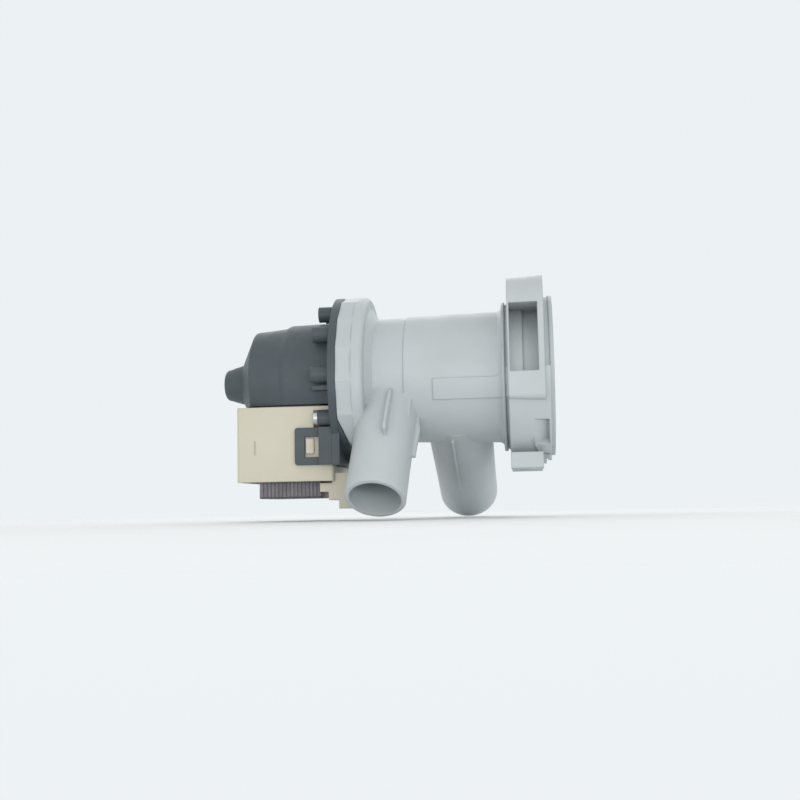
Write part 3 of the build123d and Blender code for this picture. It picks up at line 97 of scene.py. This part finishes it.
def make_camera():
    data = bpy.data.cameras.new("camera")
    data.lens = CAMERA_LENS
    data.sensor_width = CAMERA_SENSOR
    data.clip_start, data.clip_end = CAMERA_CLIP
    cam = bpy.data.objects.new("camera", data)
    bpy.context.scene.collection.objects.link(cam)
    level_right = CAMERA_LOOK.cross(Vector((0, 0, 1))).normalized()
    level_up = level_right.cross(CAMERA_LOOK)
    right = level_right * math.cos(CAMERA_TILT) - level_up * math.sin(CAMERA_TILT)
    up = level_right * math.sin(CAMERA_TILT) + level_up * math.cos(CAMERA_TILT)
    turn = Matrix((right, up, -CAMERA_LOOK)).transposed()
    cam.matrix_world = Matrix.Translation(CAMERA_PLACE) @ turn.to_4x4()
    bpy.context.scene.camera = cam


# Node helpers
def node(tree, kind, inputs=None, **settings):
    """New node whose inputs are linked to sockets or set to values."""
    made = tree.nodes.new(kind)
    for key, value in settings.items():
        setattr(made, key, value)
    for key, value in (inputs or {}).items():
        if isinstance(value, bpy.types.NodeSocket):
            tree.links.new(value, made.inputs[key])
        else:
            made.inputs[key].default_value = value
    return made


def new_material(name):
    mat = bpy.data.materials.new(name)
    mat.use_nodes = True
    tree = mat.node_tree
    tree.nodes.clear()
    shader = tree.nodes.new("ShaderNodeBsdfPrincipled")
    output = tree.nodes.new("ShaderNodeOutputMaterial")
    tree.links.new(shader.outputs[0], output.inputs[0])
    return mat, tree, shader


def rgba(colour, factor=1.0):
    return (colour[0] * factor, colour[1] * factor, colour[2] * factor, 1.0)


def lighter(colour, factor):
    """Colour times a factor, with no channel over 1."""
    return rgba([min(1.0, channel * factor) for channel in colour])


def object_place(tree):
    return node(tree, "ShaderNodeTexCoord").outputs["Object"]


def surface_normal(tree):
    return node(tree, "ShaderNodeNewGeometry").outputs["Normal"]


def axis_of(tree, vector, axis):
    return node(tree, "ShaderNodeSeparateXYZ", {0: vector}).outputs[axis]


def stretched(tree, place, scale):
    return node(tree, "ShaderNodeMapping", {"Vector": place, "Scale": scale}).outputs[0]


def noise(tree, place, scale, detail=3.0, rough=0.55, distortion=0.0):
    return node(tree, "ShaderNodeTexNoise",
                {"Vector": place, "Scale": scale, "Detail": detail, "Roughness": rough,
                 "Distortion": distortion}).outputs["Fac"]


def spread(tree, value, low, high, from_low=0.3, from_high=0.7):
    """Value mapped from one range to another, and held at its ends."""
    return node(tree, "ShaderNodeMapRange",
                {"Value": value, "From Min": from_low, "From Max": from_high,
                 "To Min": low, "To Max": high}).outputs[0]


def mixed(tree, factor, a, b):
    """Colour between a and b. The colour sockets of a Mix node are 6, 7 and 2."""
    return node(tree, "ShaderNodeMix", {0: factor, 6: a, 7: b}, data_type="RGBA").outputs[2]


def math_node(tree, operation, *values):
    return node(tree, "ShaderNodeMath", dict(enumerate(values)), operation=operation).outputs[0]


# Ease of the edges: how far the softened normal turns where an edge counts as sharp; on plastic the
# sharp edges get painted highlight and wear, on metal wear
BEVEL_SAMPLES = 6
SHARP_EDGE_FROM = 0.75
SHARP_EDGE_TO = 0.99


def rounded_edges(tree, radius):
    """Softened normals and a mask of the sharp edges."""
    soft = node(tree, "ShaderNodeBevel", {"Radius": radius}, samples=BEVEL_SAMPLES).outputs[0]
    same = node(tree, "ShaderNodeVectorMath", {0: soft, 1: surface_normal(tree)},
                operation="DOT_PRODUCT").outputs["Value"]
    return soft, spread(tree, same, 1.0, 0.0, SHARP_EDGE_FROM, SHARP_EDGE_TO)


def set_bump(tree, shader, height, strength, depth, normal=None):
    inputs = {"Strength": strength, "Distance": depth, "Height": height}
    if normal:
        inputs["Normal"] = normal
    bump = node(tree, "ShaderNodeBump", inputs)
    tree.links.new(bump.outputs[0], shader.inputs["Normal"])


# Moulded plastic: noise scales in waves per metre, amounts as shares
PLASTIC_CLOUD_SCALE = 26.0
PLASTIC_STREAK_SCALE = 120.0
PLASTIC_STREAK_STRETCH = (0.25, 1.0, 1.0)
PLASTIC_STREAK_AMOUNT = 0.22
PLASTIC_STREAK_SHADE = 1.6
PLASTIC_GLOSS_SCALE = 90.0
PLASTIC_GLOSS = (-0.06, 0.07)
PLASTIC_WAVE_SCALE = 42.0
PLASTIC_WAVE_HEIGHT = 1.6
PLASTIC_BUMP = 0.35
PLASTIC_SPECULAR = 0.4
# Share of the edge lightening, which is painted highlight and wear
PLASTIC_EDGE_WEAR_AND_HIGHLIGHT = 0.55
DUST_COLOUR = (0.55, 0.54, 0.5)
DUST_SCALE = 210.0
DUST_SLOPE = 0.35
DUST_LEAST = 0.2


def dusted(tree, place, tone, dust):
    """Dust that settled on what faces up."""
    upward = axis_of(tree, surface_normal(tree), 2)
    grains = noise(tree, place, DUST_SCALE, detail=5.0, rough=0.7)
    settled = math_node(tree, "MULTIPLY", spread(tree, upward, 0.0, dust, DUST_SLOPE, 1.0),
                        spread(tree, grains, DUST_LEAST, 1.0))
    return mixed(tree, settled, tone, rgba(DUST_COLOUR))


def moulded(name, colour, rough, grain=1500.0, grain_depth=0.00003, mottle=0.06, edge=0.0005,
            edge_light=1.12, cool=(1.0, 1.0, 1.0), dust=0.0):
    """Moulded plastic: soft mottling, a fine grain, flow marks, edges lightened as painted
    highlight and wear, and some dust.
    """
    mat, tree, shader = new_material(name)
    place = object_place(tree)
    normal, edge_mask = rounded_edges(tree, edge)
    clouds = noise(tree, place, PLASTIC_CLOUD_SCALE, detail=4.0)
    streaks = noise(tree, stretched(tree, place, PLASTIC_STREAK_STRETCH), PLASTIC_STREAK_SCALE,
                    rough=0.6, distortion=0.6)
    cooled = [channel * factor for channel, factor in zip(colour, cool)]
    tone = mixed(tree, spread(tree, clouds, 0.0, 1.0), rgba(colour, 1.0 - mottle),
                 rgba(cooled, 1.0 + mottle))
    tone = mixed(tree, spread(tree, streaks, 0.0, PLASTIC_STREAK_AMOUNT), tone,
                 rgba(colour, 1.0 - PLASTIC_STREAK_SHADE * mottle))
    # Lighter sharp edges: painted highlight, also standing for wear
    tone = mixed(tree, math_node(tree, "MULTIPLY", edge_mask, PLASTIC_EDGE_WEAR_AND_HIGHLIGHT), tone,
                 lighter(colour, edge_light))
    if dust:
        tone = dusted(tree, place, tone, dust)
    tree.links.new(tone, shader.inputs["Base Color"])
    gloss = noise(tree, place, PLASTIC_GLOSS_SCALE, detail=4.0)
    tree.links.new(spread(tree, gloss, rough + PLASTIC_GLOSS[0], rough + PLASTIC_GLOSS[1]),
                   shader.inputs["Roughness"])
    fine = noise(tree, place, grain, detail=2.0, rough=0.7)
    waves = noise(tree, place, PLASTIC_WAVE_SCALE, detail=2.0)
    height = math_node(tree, "MULTIPLY_ADD", waves, PLASTIC_WAVE_HEIGHT, fine)
    set_bump(tree, shader, height, PLASTIC_BUMP, grain_depth, normal)
    shader.inputs["Specular IOR Level"].default_value = PLASTIC_SPECULAR
    return mat


# Metal: tones as factors of its colour, the grain's depth in metres
METAL_TONES = (0.88, 1.06)
METAL_SPOT_SCALE = 160.0
METAL_SPOT_RANGE = (0.5, 0.75)
METAL_EDGE_RADIUS = 0.0003
METAL_WORN_AMOUNT = 0.4
METAL_WORN_LIGHT = 1.2
METAL_GLOSS = (-0.07, 0.1)
METAL_BUMP = 0.4
METAL_GRAIN_DEPTH = 0.00002


def metal(name, colour, rough, grain_scale=(1.0, 1.0, 1.0), grain=600.0,
          tarnish=(0.25, 0.22, 0.2), tarnish_amount=0.2):
    """Metal with a worked grain and some tarnish."""
    mat, tree, shader = new_material(name)
    place = object_place(tree)
    normal, edge_mask = rounded_edges(tree, METAL_EDGE_RADIUS)
    lines = noise(tree, stretched(tree, place, grain_scale), grain, rough=0.6)
    spots = noise(tree, place, METAL_SPOT_SCALE, detail=5.0, rough=0.65)
    tone = mixed(tree, spread(tree, lines, 0.0, 1.0),
                 *[rgba(colour, factor) for factor in METAL_TONES])
    tone = mixed(tree, spread(tree, spots, 0.0, tarnish_amount, *METAL_SPOT_RANGE), tone,
                 rgba(tarnish))
    tone = mixed(tree, math_node(tree, "MULTIPLY", edge_mask, METAL_WORN_AMOUNT), tone,
                 lighter(colour, METAL_WORN_LIGHT))
    tree.links.new(tone, shader.inputs["Base Color"])
    tree.links.new(spread(tree, lines, rough + METAL_GLOSS[0], rough + METAL_GLOSS[1]),
                   shader.inputs["Roughness"])
    set_bump(tree, shader, lines, METAL_BUMP, METAL_GRAIN_DEPTH, normal)
    shader.inputs["Metallic"].default_value = 1.0
    return mat


# Laminated core: sheets stacked along X, with a dark joint between them
SHEET_THICKNESS = 0.0005
SHEET_EDGE_RADIUS = 0.0002
SHEET_TONES = ((0.185, 0.172, 0.182), (0.22, 0.206, 0.216))
SHEET_CLOUD_COLOUR = (0.15, 0.14, 0.15)
SHEET_CLOUD_SCALE = 70.0
SHEET_CLOUD_AMOUNT = 0.5
RUST_COLOUR = (0.24, 0.13, 0.08)
RUST_SCALE = 330.0
RUST_AMOUNT = 0.3
RUST_RANGE = (0.60, 0.74)
JOINT_COLOUR = (0.09, 0.08, 0.09)
JOINT_SHARE = 0.16
JOINT_AMOUNT = 0.5
JOINT_DEPTH = 0.00012
HALF_SHEET = 0.5
SHEET_STEP = 0.4
SHEET_GLOSS = (0.38, 0.6)
SHEET_BUMP = 0.7
SHEET_METALLIC = 0.65


def laminated(name):
    """Stacked electrical sheet seen on its edges: thin dark joints and uneven blueing."""
    mat, tree, shader = new_material(name)
    place = object_place(tree)
    normal = rounded_edges(tree, SHEET_EDGE_RADIUS)[0]
    sheets = math_node(tree, "MULTIPLY", axis_of(tree, place, 0), 1.0 / SHEET_THICKNESS)
    phase = math_node(tree, "FRACT", sheets)
    joint = spread(tree, math_node(tree, "PINGPONG", phase, HALF_SHEET), 1.0, 0.0, 0.0, JOINT_SHARE)
    own = node(tree, "ShaderNodeTexWhiteNoise", {"W": math_node(tree, "FLOOR", sheets)},
               noise_dimensions="1D").outputs["Value"]
    clouds = noise(tree, place, SHEET_CLOUD_SCALE, detail=4.0, rough=0.6)
    tone = mixed(tree, own, *[rgba(colour) for colour in SHEET_TONES])
    tone = mixed(tree, spread(tree, clouds, 0.0, SHEET_CLOUD_AMOUNT), tone,
                 rgba(SHEET_CLOUD_COLOUR))
    rust = noise(tree, place, RUST_SCALE, detail=5.0, rough=0.7)
    tone = mixed(tree, spread(tree, rust, 0.0, RUST_AMOUNT, *RUST_RANGE), tone, rgba(RUST_COLOUR))
    tone = mixed(tree, math_node(tree, "MULTIPLY", joint, JOINT_AMOUNT), tone, rgba(JOINT_COLOUR))
    tree.links.new(tone, shader.inputs["Base Color"])
    tree.links.new(spread(tree, clouds, *SHEET_GLOSS), shader.inputs["Roughness"])
    height = math_node(tree, "MULTIPLY_ADD", own, SHEET_STEP,
                       math_node(tree, "SUBTRACT", 1.0, joint))
    set_bump(tree, shader, height, SHEET_BUMP, JOINT_DEPTH, normal)
    shader.inputs["Metallic"].default_value = SHEET_METALLIC
    return mat


# Rubber
RUBBER_TONES = ((0.018, 0.018, 0.019), (0.05, 0.05, 0.05))
RUBBER_CLOUD_SCALE = 120.0
RUBBER_GRAIN_SCALE = 900.0
RUBBER_GRAIN_DEPTH = 0.00003
RUBBER_GLOSS = (0.62, 0.85)
RUBBER_BUMP = 0.5


def rubber(name):
    """Dull black rubber with a fine grain."""
    mat, tree, shader = new_material(name)
    place = object_place(tree)
    fine = noise(tree, place, RUBBER_GRAIN_SCALE, rough=0.7)
    clouds = noise(tree, place, RUBBER_CLOUD_SCALE)
    tone = mixed(tree, spread(tree, clouds, 0.0, 1.0), *[rgba(colour) for colour in RUBBER_TONES])
    tree.links.new(tone, shader.inputs["Base Color"])
    tree.links.new(spread(tree, fine, *RUBBER_GLOSS), shader.inputs["Roughness"])
    set_bump(tree, shader, fine, RUBBER_BUMP, RUBBER_GRAIN_DEPTH)
    return mat


# Looks of the material slots. Edge is the radius by which the shading rounds the edges. Edge light
# is how much lighter the edges are painted, as highlight and wear.
PLASTICS = {
    "housing_plastic": dict(colour=(0.485, 0.518, 0.528), rough=0.45, mottle=0.04, edge=0.0011,
                            edge_light=1.10, cool=(0.97, 1.0, 1.01), dust=0.06),
    "motor_plastic": dict(colour=(0.066, 0.083, 0.094), rough=0.5, grain=1100.0,
                          grain_depth=0.00006, mottle=0.12, edge=0.0007, edge_light=1.5, dust=0.06),
    "coil_plastic": dict(colour=(0.585, 0.55, 0.435), rough=0.45, mottle=0.04, edge=0.0009,
                         edge_light=1.06, cool=(1.0, 1.0, 1.04), dust=0.05),
    "bobbin_plastic": dict(colour=(0.62, 0.60, 0.52), rough=0.45),
    "carrier_plastic": dict(colour=(0.06, 0.06, 0.065), rough=0.45, edge_light=1.6),
    "bearing_carbon": dict(colour=(0.035, 0.035, 0.037), rough=0.33, grain=2600.0),
    "washer_plastic": dict(colour=(0.74, 0.74, 0.70), rough=0.28),
    "impeller_plastic": dict(colour=(0.16, 0.19, 0.22), rough=0.4, edge_light=1.4),
    "protector_black": dict(colour=(0.025, 0.025, 0.027), rough=0.35),
}
METALS = {
    "steel": dict(colour=(0.62, 0.62, 0.60), rough=0.3),
    "shaft_steel": dict(colour=(0.66, 0.66, 0.66), rough=0.2, grain_scale=(6.0, 1.0, 1.0)),
    "tinned_brass": dict(colour=(0.72, 0.70, 0.62), rough=0.28, tarnish=(0.5, 0.38, 0.16),
                         tarnish_amount=0.35),
    "copper": dict(colour=(0.40, 0.15, 0.07), rough=0.26, grain=900.0, tarnish=(0.3, 0.1, 0.04),
                   tarnish_amount=0.5),
    "ferrite": dict(colour=(0.10, 0.10, 0.11), rough=0.55, tarnish=(0.05, 0.05, 0.06),
                    tarnish_amount=0.6),
}


def make_materials():
    made = {slot: moulded(slot, **look) for slot, look in PLASTICS.items()}
    made["core_steel"] = laminated("core_steel")
    for slot, look in METALS.items():
        made[slot] = metal(slot, **look)
    made["seal_rubber"] = rubber("seal_rubber")
    return made


def dress(materials):
    """Give each CAD node the material of its slot."""
    for part in frame["record"]["subparts"]:
        mesh = nodes[part["node"]].data
        mesh.materials.clear()
        mesh.materials.append(materials[part["material_slot"]])


def area_light(name, place, target, size, watts):
    data = bpy.data.lights.new(name, "AREA")
    data.shape = "RECTANGLE"
    data.size, data.size_y = size
    data.energy = watts
    light = bpy.data.objects.new(name, data)
    bpy.context.scene.collection.objects.link(light)
    light.location = place
    light.rotation_mode = "QUATERNION"
    light.rotation_quaternion = (Vector(target) - Vector(place)).to_track_quat("-Z", "Y")


def make_world():
    """Plain soft light, with the backdrop's colour for all that sees past the object."""
    world = bpy.data.worlds.new("world")
    bpy.context.scene.world = world
    world.use_nodes = True
    tree = world.node_tree
    tree.nodes.clear()
    path = node(tree, "ShaderNodeLightPath")
    seen = math_node(tree, "MAXIMUM", path.outputs["Is Camera Ray"],
                     math_node(tree, "MAXIMUM", path.outputs["Is Glossy Ray"],
                               path.outputs["Is Transmission Ray"]))
    soft = node(tree, "ShaderNodeBackground",
                {"Color": rgba(SOFT_COLOUR), "Strength": SOFT_STRENGTH})
    shown = node(tree, "ShaderNodeBackground", {"Color": rgba(BACKDROP), "Strength": 1.0})
    mix = node(tree, "ShaderNodeMixShader", {0: seen, 1: soft.outputs[0], 2: shown.outputs[0]})
    node(tree, "ShaderNodeOutputWorld", {0: mix.outputs[0]})


def make_floor():
    """Floor that catches the shadow and fades into the backdrop all round."""
    mesh = bpy.data.meshes.new("floor")
    disc = bmesh.new()
    bmesh.ops.create_circle(disc, cap_ends=True, segments=FLOOR_SEGMENTS, radius=FLOOR_RADIUS)
    disc.to_mesh(mesh)
    disc.free()
    floor = bpy.data.objects.new("floor", mesh)
    bpy.context.scene.collection.objects.link(floor)
    floor.location = (OBJECT_MIDDLE.x, OBJECT_MIDDLE.y, cad_low.z - FLOOR_DROP)
    mat, tree, shader = new_material("floor")
    shader.inputs["Roughness"].default_value = FLOOR_ROUGHNESS
    shader.inputs["Specular IOR Level"].default_value = FLOOR_SPECULAR
    place = object_place(tree)
    clouds = noise(tree, place, FLOOR_CLOUD_SCALE)
    tree.links.new(mixed(tree, clouds, *[rgba(FLOOR_COLOUR, factor) for factor in FLOOR_MOTTLE]),
                   shader.inputs["Base Color"])
    distance = node(tree, "ShaderNodeVectorMath", {0: place}, operation="LENGTH").outputs["Value"]
    away = spread(tree, distance, 0.0, 1.0, *FLOOR_FADE)
    below = node(tree, "ShaderNodeNewGeometry").outputs["Backfacing"]
    clear = node(tree, "ShaderNodeBsdfTransparent")
    mix = node(tree, "ShaderNodeMixShader", {0: math_node(tree, "MAXIMUM", away, below),
                                             1: shader.outputs[0], 2: clear.outputs[0]})
    tree.links.new(mix.outputs[0], tree.nodes["Material Output"].inputs[0])
    mesh.materials.append(mat)


def make_studio():
    bpy.context.scene.view_settings.view_transform = "Standard"
    make_world()
    for light in LIGHTS:
        area_light(*light)
    make_floor()


# Mesh pieces. Points nearer than TOUCH count as one.
SHARP_ANGLE = math.radians(38.0)
TOUCH = 1e-6
SORT_DIGITS = 4
AXES = range(3)


def finish_piece(made, name, slot, body="root", replaced=()):
    """Turn a bmesh into a dressed piece that rides on a body."""
    mesh = bpy.data.meshes.new(name)
    bmesh.ops.recalc_face_normals(made, faces=made.faces)
    made.to_mesh(mesh)
    made.free()
    mesh.shade_smooth()
    mesh.set_sharp_from_angle(angle=SHARP_ANGLE)
    mesh.materials.append(materials[slot])
    piece = bpy.data.objects.new(name, mesh)
    bpy.context.scene.collection.objects.link(piece)
    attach(piece, body)
    if replaced:
        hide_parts(*replaced)


def solids_of(name):
    """Lowest and highest corners of each separate solid of a node."""
    made = bmesh.new()
    made.from_mesh(nodes[name].data)
    bmesh.ops.remove_doubles(made, verts=made.verts, dist=TOUCH)
    left = set(made.verts)
    boxes = []
    while left:
        seed = left.pop()
        found = [seed]
        border = [seed]
        while border:
            vert = border.pop()
            for edge in vert.link_edges:
                other = edge.other_vert(vert)
                if other in left:
                    left.remove(other)
                    found.append(other)
                    border.append(other)
        boxes.append((Vector([min(vert.co[axis] for vert in found) for axis in AXES]),
                      Vector([max(vert.co[axis] for vert in found) for axis in AXES])))
    made.free()
    return sorted(boxes, key=lambda box: (round(box[0].y, SORT_DIGITS),
                                          round(box[0].z, SORT_DIGITS)))


def full_turn(count):
    """Angles of equal steps once round."""
    return [2 * math.pi * i / count for i in range(count)]


def bridge(made, low_ring, high_ring):
    """Faces between two closed rings of as many points."""
    count = len(low_ring)
    for i in range(count):
        made.faces.new((low_ring[i], low_ring[(i + 1) % count],
                        high_ring[(i + 1) % count], high_ring[i]))


# Screws: head with a six-lobe recess, washer and threaded shank
SCREW_SEGMENTS = 48
SUNK_HEAD_HEIGHT = 0.0022
PAN_HEAD_HEIGHT = 0.0028
WASHER_THICKNESS = 0.0008
WASHER_OVERHANG = 0.0003
RIM_EDGE = 0.0001
HEAD_DOME = 0.0009
DOME_HEIGHT_SHARE = 0.4
DOME_FLAT_SHARE = 1.45
DOME_STEPS = 7
DOME_FALL_SHARE = 0.999
LOBE_COUNT = 6
LOBE_DEPTH = 0.16
RECESS_R = 0.00125
RECESS_DEPTH = 0.0012
RECESS_CHAMFER = 0.00012
RECESS_FLOOR_SHARE = 0.86
RECESS_MOUTH_SHARE = 1.10
LOBE_MOUTH_SHARE = 0.8
SHANK_R = 0.00185
THREAD_DEPTH = 0.0003
THREAD_PITCH = 0.0009
THREAD_LENGTH = 0.0075


def lathe(made, y, z, rings):
    """Surface about an X line through rings of (x, radius, lobe depth), closed at both ends."""
    loops = []
    for x, radius, lobe in rings:
        loop = []
        for angle in full_turn(SCREW_SEGMENTS):
            r = radius * (1 + lobe * math.cos(LOBE_COUNT * angle))
            loop.append(made.verts.new((x, y + r * math.cos(angle), z + r * math.sin(angle))))
        loops.append(loop)
    for low_ring, high_ring in zip(loops, loops[1:]):
        bridge(made, low_ring, high_ring)
    made.faces.new(loops[0])
    made.faces.new(loops[-1])


def head_rings(top, seat, head_r):
    """Rings of the recess and of the domed head, from the recess floor to the rim."""
    rings = [(top + RECESS_DEPTH, RECESS_R * RECESS_FLOOR_SHARE, LOBE_DEPTH),
             (top + RECESS_CHAMFER, RECESS_R, LOBE_DEPTH),
             (top, RECESS_R * RECESS_MOUTH_SHARE, LOBE_DEPTH * LOBE_MOUTH_SHARE)]
    dome = min(HEAD_DOME, (seat - top) * DOME_HEIGHT_SHARE)
    start = RECESS_R * DOME_FLAT_SHARE
    for i in range(DOME_STEPS + 1):
        turn = math.pi / 2 * i / DOME_STEPS
        rings.append((top + dome * (1 - math.cos(turn)) * DOME_FALL_SHARE,
                      start + (head_r - start) * math.sin(turn), 0.0))
    return rings


def shank_rings(seat, tip):
    """Rings of the shank and of its thread, down to the tip."""
    rings = [(seat, SHANK_R, 0.0)]
    x = tip - THREAD_LENGTH
    while x < tip - THREAD_PITCH:
        rings += [(x, SHANK_R - THREAD_DEPTH, 0.0), (x + THREAD_PITCH / 2, SHANK_R, 0.0)]
        x += THREAD_PITCH
    return rings + [(tip - THREAD_PITCH / 2, SHANK_R - THREAD_DEPTH, 0.0), (tip, SHANK_R / 2, 0.0)]


def screw_rings(top, seat, tip, head_r, washer_r):
    """Rings of one screw from the floor of its recess to its tip."""
    head_low = seat - WASHER_THICKNESS if washer_r else seat
    rings = head_rings(top, seat, head_r)
    rings += [(head_low - RIM_EDGE, head_r, 0.0), (head_low, head_r - RIM_EDGE, 0.0)]
    if washer_r:
        rings += [(head_low, washer_r - RIM_EDGE, 0.0), (head_low + RIM_EDGE, washer_r, 0.0),
                  (seat - RIM_EDGE, washer_r, 0.0), (seat, washer_r - RIM_EDGE, 0.0)]
    return rings + shank_rings(seat, tip)


def make_screws():
    for name, washer in (("cover_screws", False), ("flange_screws", True)):
        made = bmesh.new()
        for low, high in solids_of(name):
            middle = (low + high) / 2
            outer = (high.z - low.z) / 2
            seat = low.x + (PAN_HEAD_HEIGHT if washer else SUNK_HEAD_HEIGHT)
            head_r = outer - WASHER_OVERHANG if washer else outer
            lathe(made, middle.y, middle.z,
                  screw_rings(low.x, seat, high.x, head_r, outer if washer else None))
        finish_piece(made, name + "_detailed", "steel", replaced=(name,))


# Coils: enamelled wire wound turn by turn over a sleeve, each turn lying a little unevenly
WIRE_R = 0.00033
WIRE_SIDES = 8
WINDING_DEPTH = 0.0029
CORNER_STEPS = 5
SLEEVE_INSET_SHARE = 0.4
WIRE_SLACK = 0.00005
SLACK_RATE = 1.7
SLACK_DRIFT = 0.6
SLACK_DRIFT_RATE = 0.13


def rounded_path(low, high, radius):
    """Points round a rounded rectangle in XY, with their outward directions."""
    points = []
    corners = ((high.x - radius, high.y - radius, 0.0), (low.x + radius, high.y - radius, 0.5),
               (low.x + radius, low.y + radius, 1.0), (high.x - radius, low.y + radius, 1.5))
    for x, y, half_turns in corners:
        for i in range(CORNER_STEPS + 1):
            angle = math.pi * (half_turns + 0.5 * i / CORNER_STEPS)
            out = Vector((math.cos(angle), math.sin(angle), 0.0))
            points.append((Vector((x, y, 0.0)) + out * radius, out))
    return points


def winding_sleeve(made, path, low_z, high_z):
    """Closed sleeve that stands for the inner layers."""
    inner = WINDING_DEPTH - WIRE_R
    outer = WIRE_R * SLEEVE_INSET_SHARE
    rings = []
    for inward, z in ((inner, low_z), (outer, low_z), (outer, high_z), (inner, high_z)):
        rings.append([made.verts.new((point.x - out.x * inward, point.y - out.y * inward, z))
                      for point, out in path])
    for low_ring, high_ring in zip(rings, rings[1:] + rings[:1]):
        bridge(made, low_ring, high_ring)


def winding_wire(made, path, low_z, high_z):
    """Outer layer, one wire climbing round and round."""
    turns = int((high_z - low_z - 2 * WIRE_R) / (2 * WIRE_R))
    pitch = (high_z - low_z - 2 * WIRE_R) / turns
    count = len(path)
    rings = []
    for step in range(turns * count + 1):
        point, out = path[step % count]
        drift = SLACK_DRIFT * math.sin(step * SLACK_DRIFT_RATE)
        slack = WIRE_SLACK * math.sin(step * SLACK_RATE + drift)
        centre = Vector((point.x, point.y, low_z + WIRE_R + pitch * step / count))
        centre -= out * (WIRE_SLACK - slack)
        rings.append([made.verts.new(centre + out * WIRE_R * math.cos(angle)
                                     + Vector((0, 0, WIRE_R * math.sin(angle))))
                      for angle in full_turn(WIRE_SIDES)])
    for low_ring, high_ring in zip(rings, rings[1:]):
        bridge(made, low_ring, high_ring)
    made.faces.new(rings[0])
    made.faces.new(rings[-1])


def make_winding(name):
    low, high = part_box(name)
    low, high = Vector(low), Vector(high)
    inset = Vector((WIRE_R, WIRE_R, 0))
    path = rounded_path(low + inset, high - inset, WINDING_DEPTH - WIRE_R)
    made = bmesh.new()
    winding_sleeve(made, path, low.z, high.z)
    winding_wire(made, path, low.z, high.z)
    finish_piece(made, name + "_turns", "copper", replaced=(name,))


# Blades of the connector: a tip with cut corners, pressed to a wedge, and a locking hole
BLADE_TIP = 0.0013
BLADE_WEDGE_SHARE = 0.45
BLADE_HOLE_R = 0.0008
BLADE_HOLE_BACK = 0.0032
BLADE_HOLE_SIDES = 24


def blade_loops(low, high):
    """Outline of a blade in XY, and its hole."""
    middle = (low + high) / 2
    outline = [(low.x, low.y), (high.x - BLADE_TIP, low.y), (high.x, low.y + BLADE_TIP),
               (high.x, high.y - BLADE_TIP), (high.x - BLADE_TIP, high.y), (low.x, high.y)]
    hole = [(high.x - BLADE_HOLE_BACK + BLADE_HOLE_R * math.cos(angle),
             middle.y + BLADE_HOLE_R * math.sin(angle)) for angle in full_turn(BLADE_HOLE_SIDES)]
    return outline, hole


def make_blades():
    made = bmesh.new()
    for low, high in solids_of("terminal_blades"):
        loops = []
        edges = []
        for points in blade_loops(low, high):
            loop = [made.verts.new((x, y, low.z)) for x, y in points]
            loops.append(loop)
            edges += [made.edges.new(pair) for pair in zip(loop, loop[1:] + loop[:1])]
        filled = bmesh.ops.triangle_fill(made, edges=edges, use_beauty=True)
        faces = [item for item in filled["geom"] if isinstance(item, bmesh.types.BMFace)]
        raised = bmesh.ops.extrude_face_region(made, geom=faces)
        top = [item for item in raised["geom"] if isinstance(item, bmesh.types.BMVert)]
        bmesh.ops.translate(made, verts=top, vec=(0, 0, high.z - low.z))
        middle = (low + high) / 2
        for vert in loops[0] + top:
            if vert.co.x > high.x - TOUCH:
                vert.co.z = middle.z + (vert.co.z - middle.z) * BLADE_WEDGE_SHARE
    finish_piece(made, "terminal_blades_tinned", "tinned_brass", replaced=("terminal_blades",))


make_camera()
make_studio()
materials = make_materials()
dress(materials)
make_screws()
for winding in ("winding_near", "winding_far"):
    make_winding(winding)
make_blades()
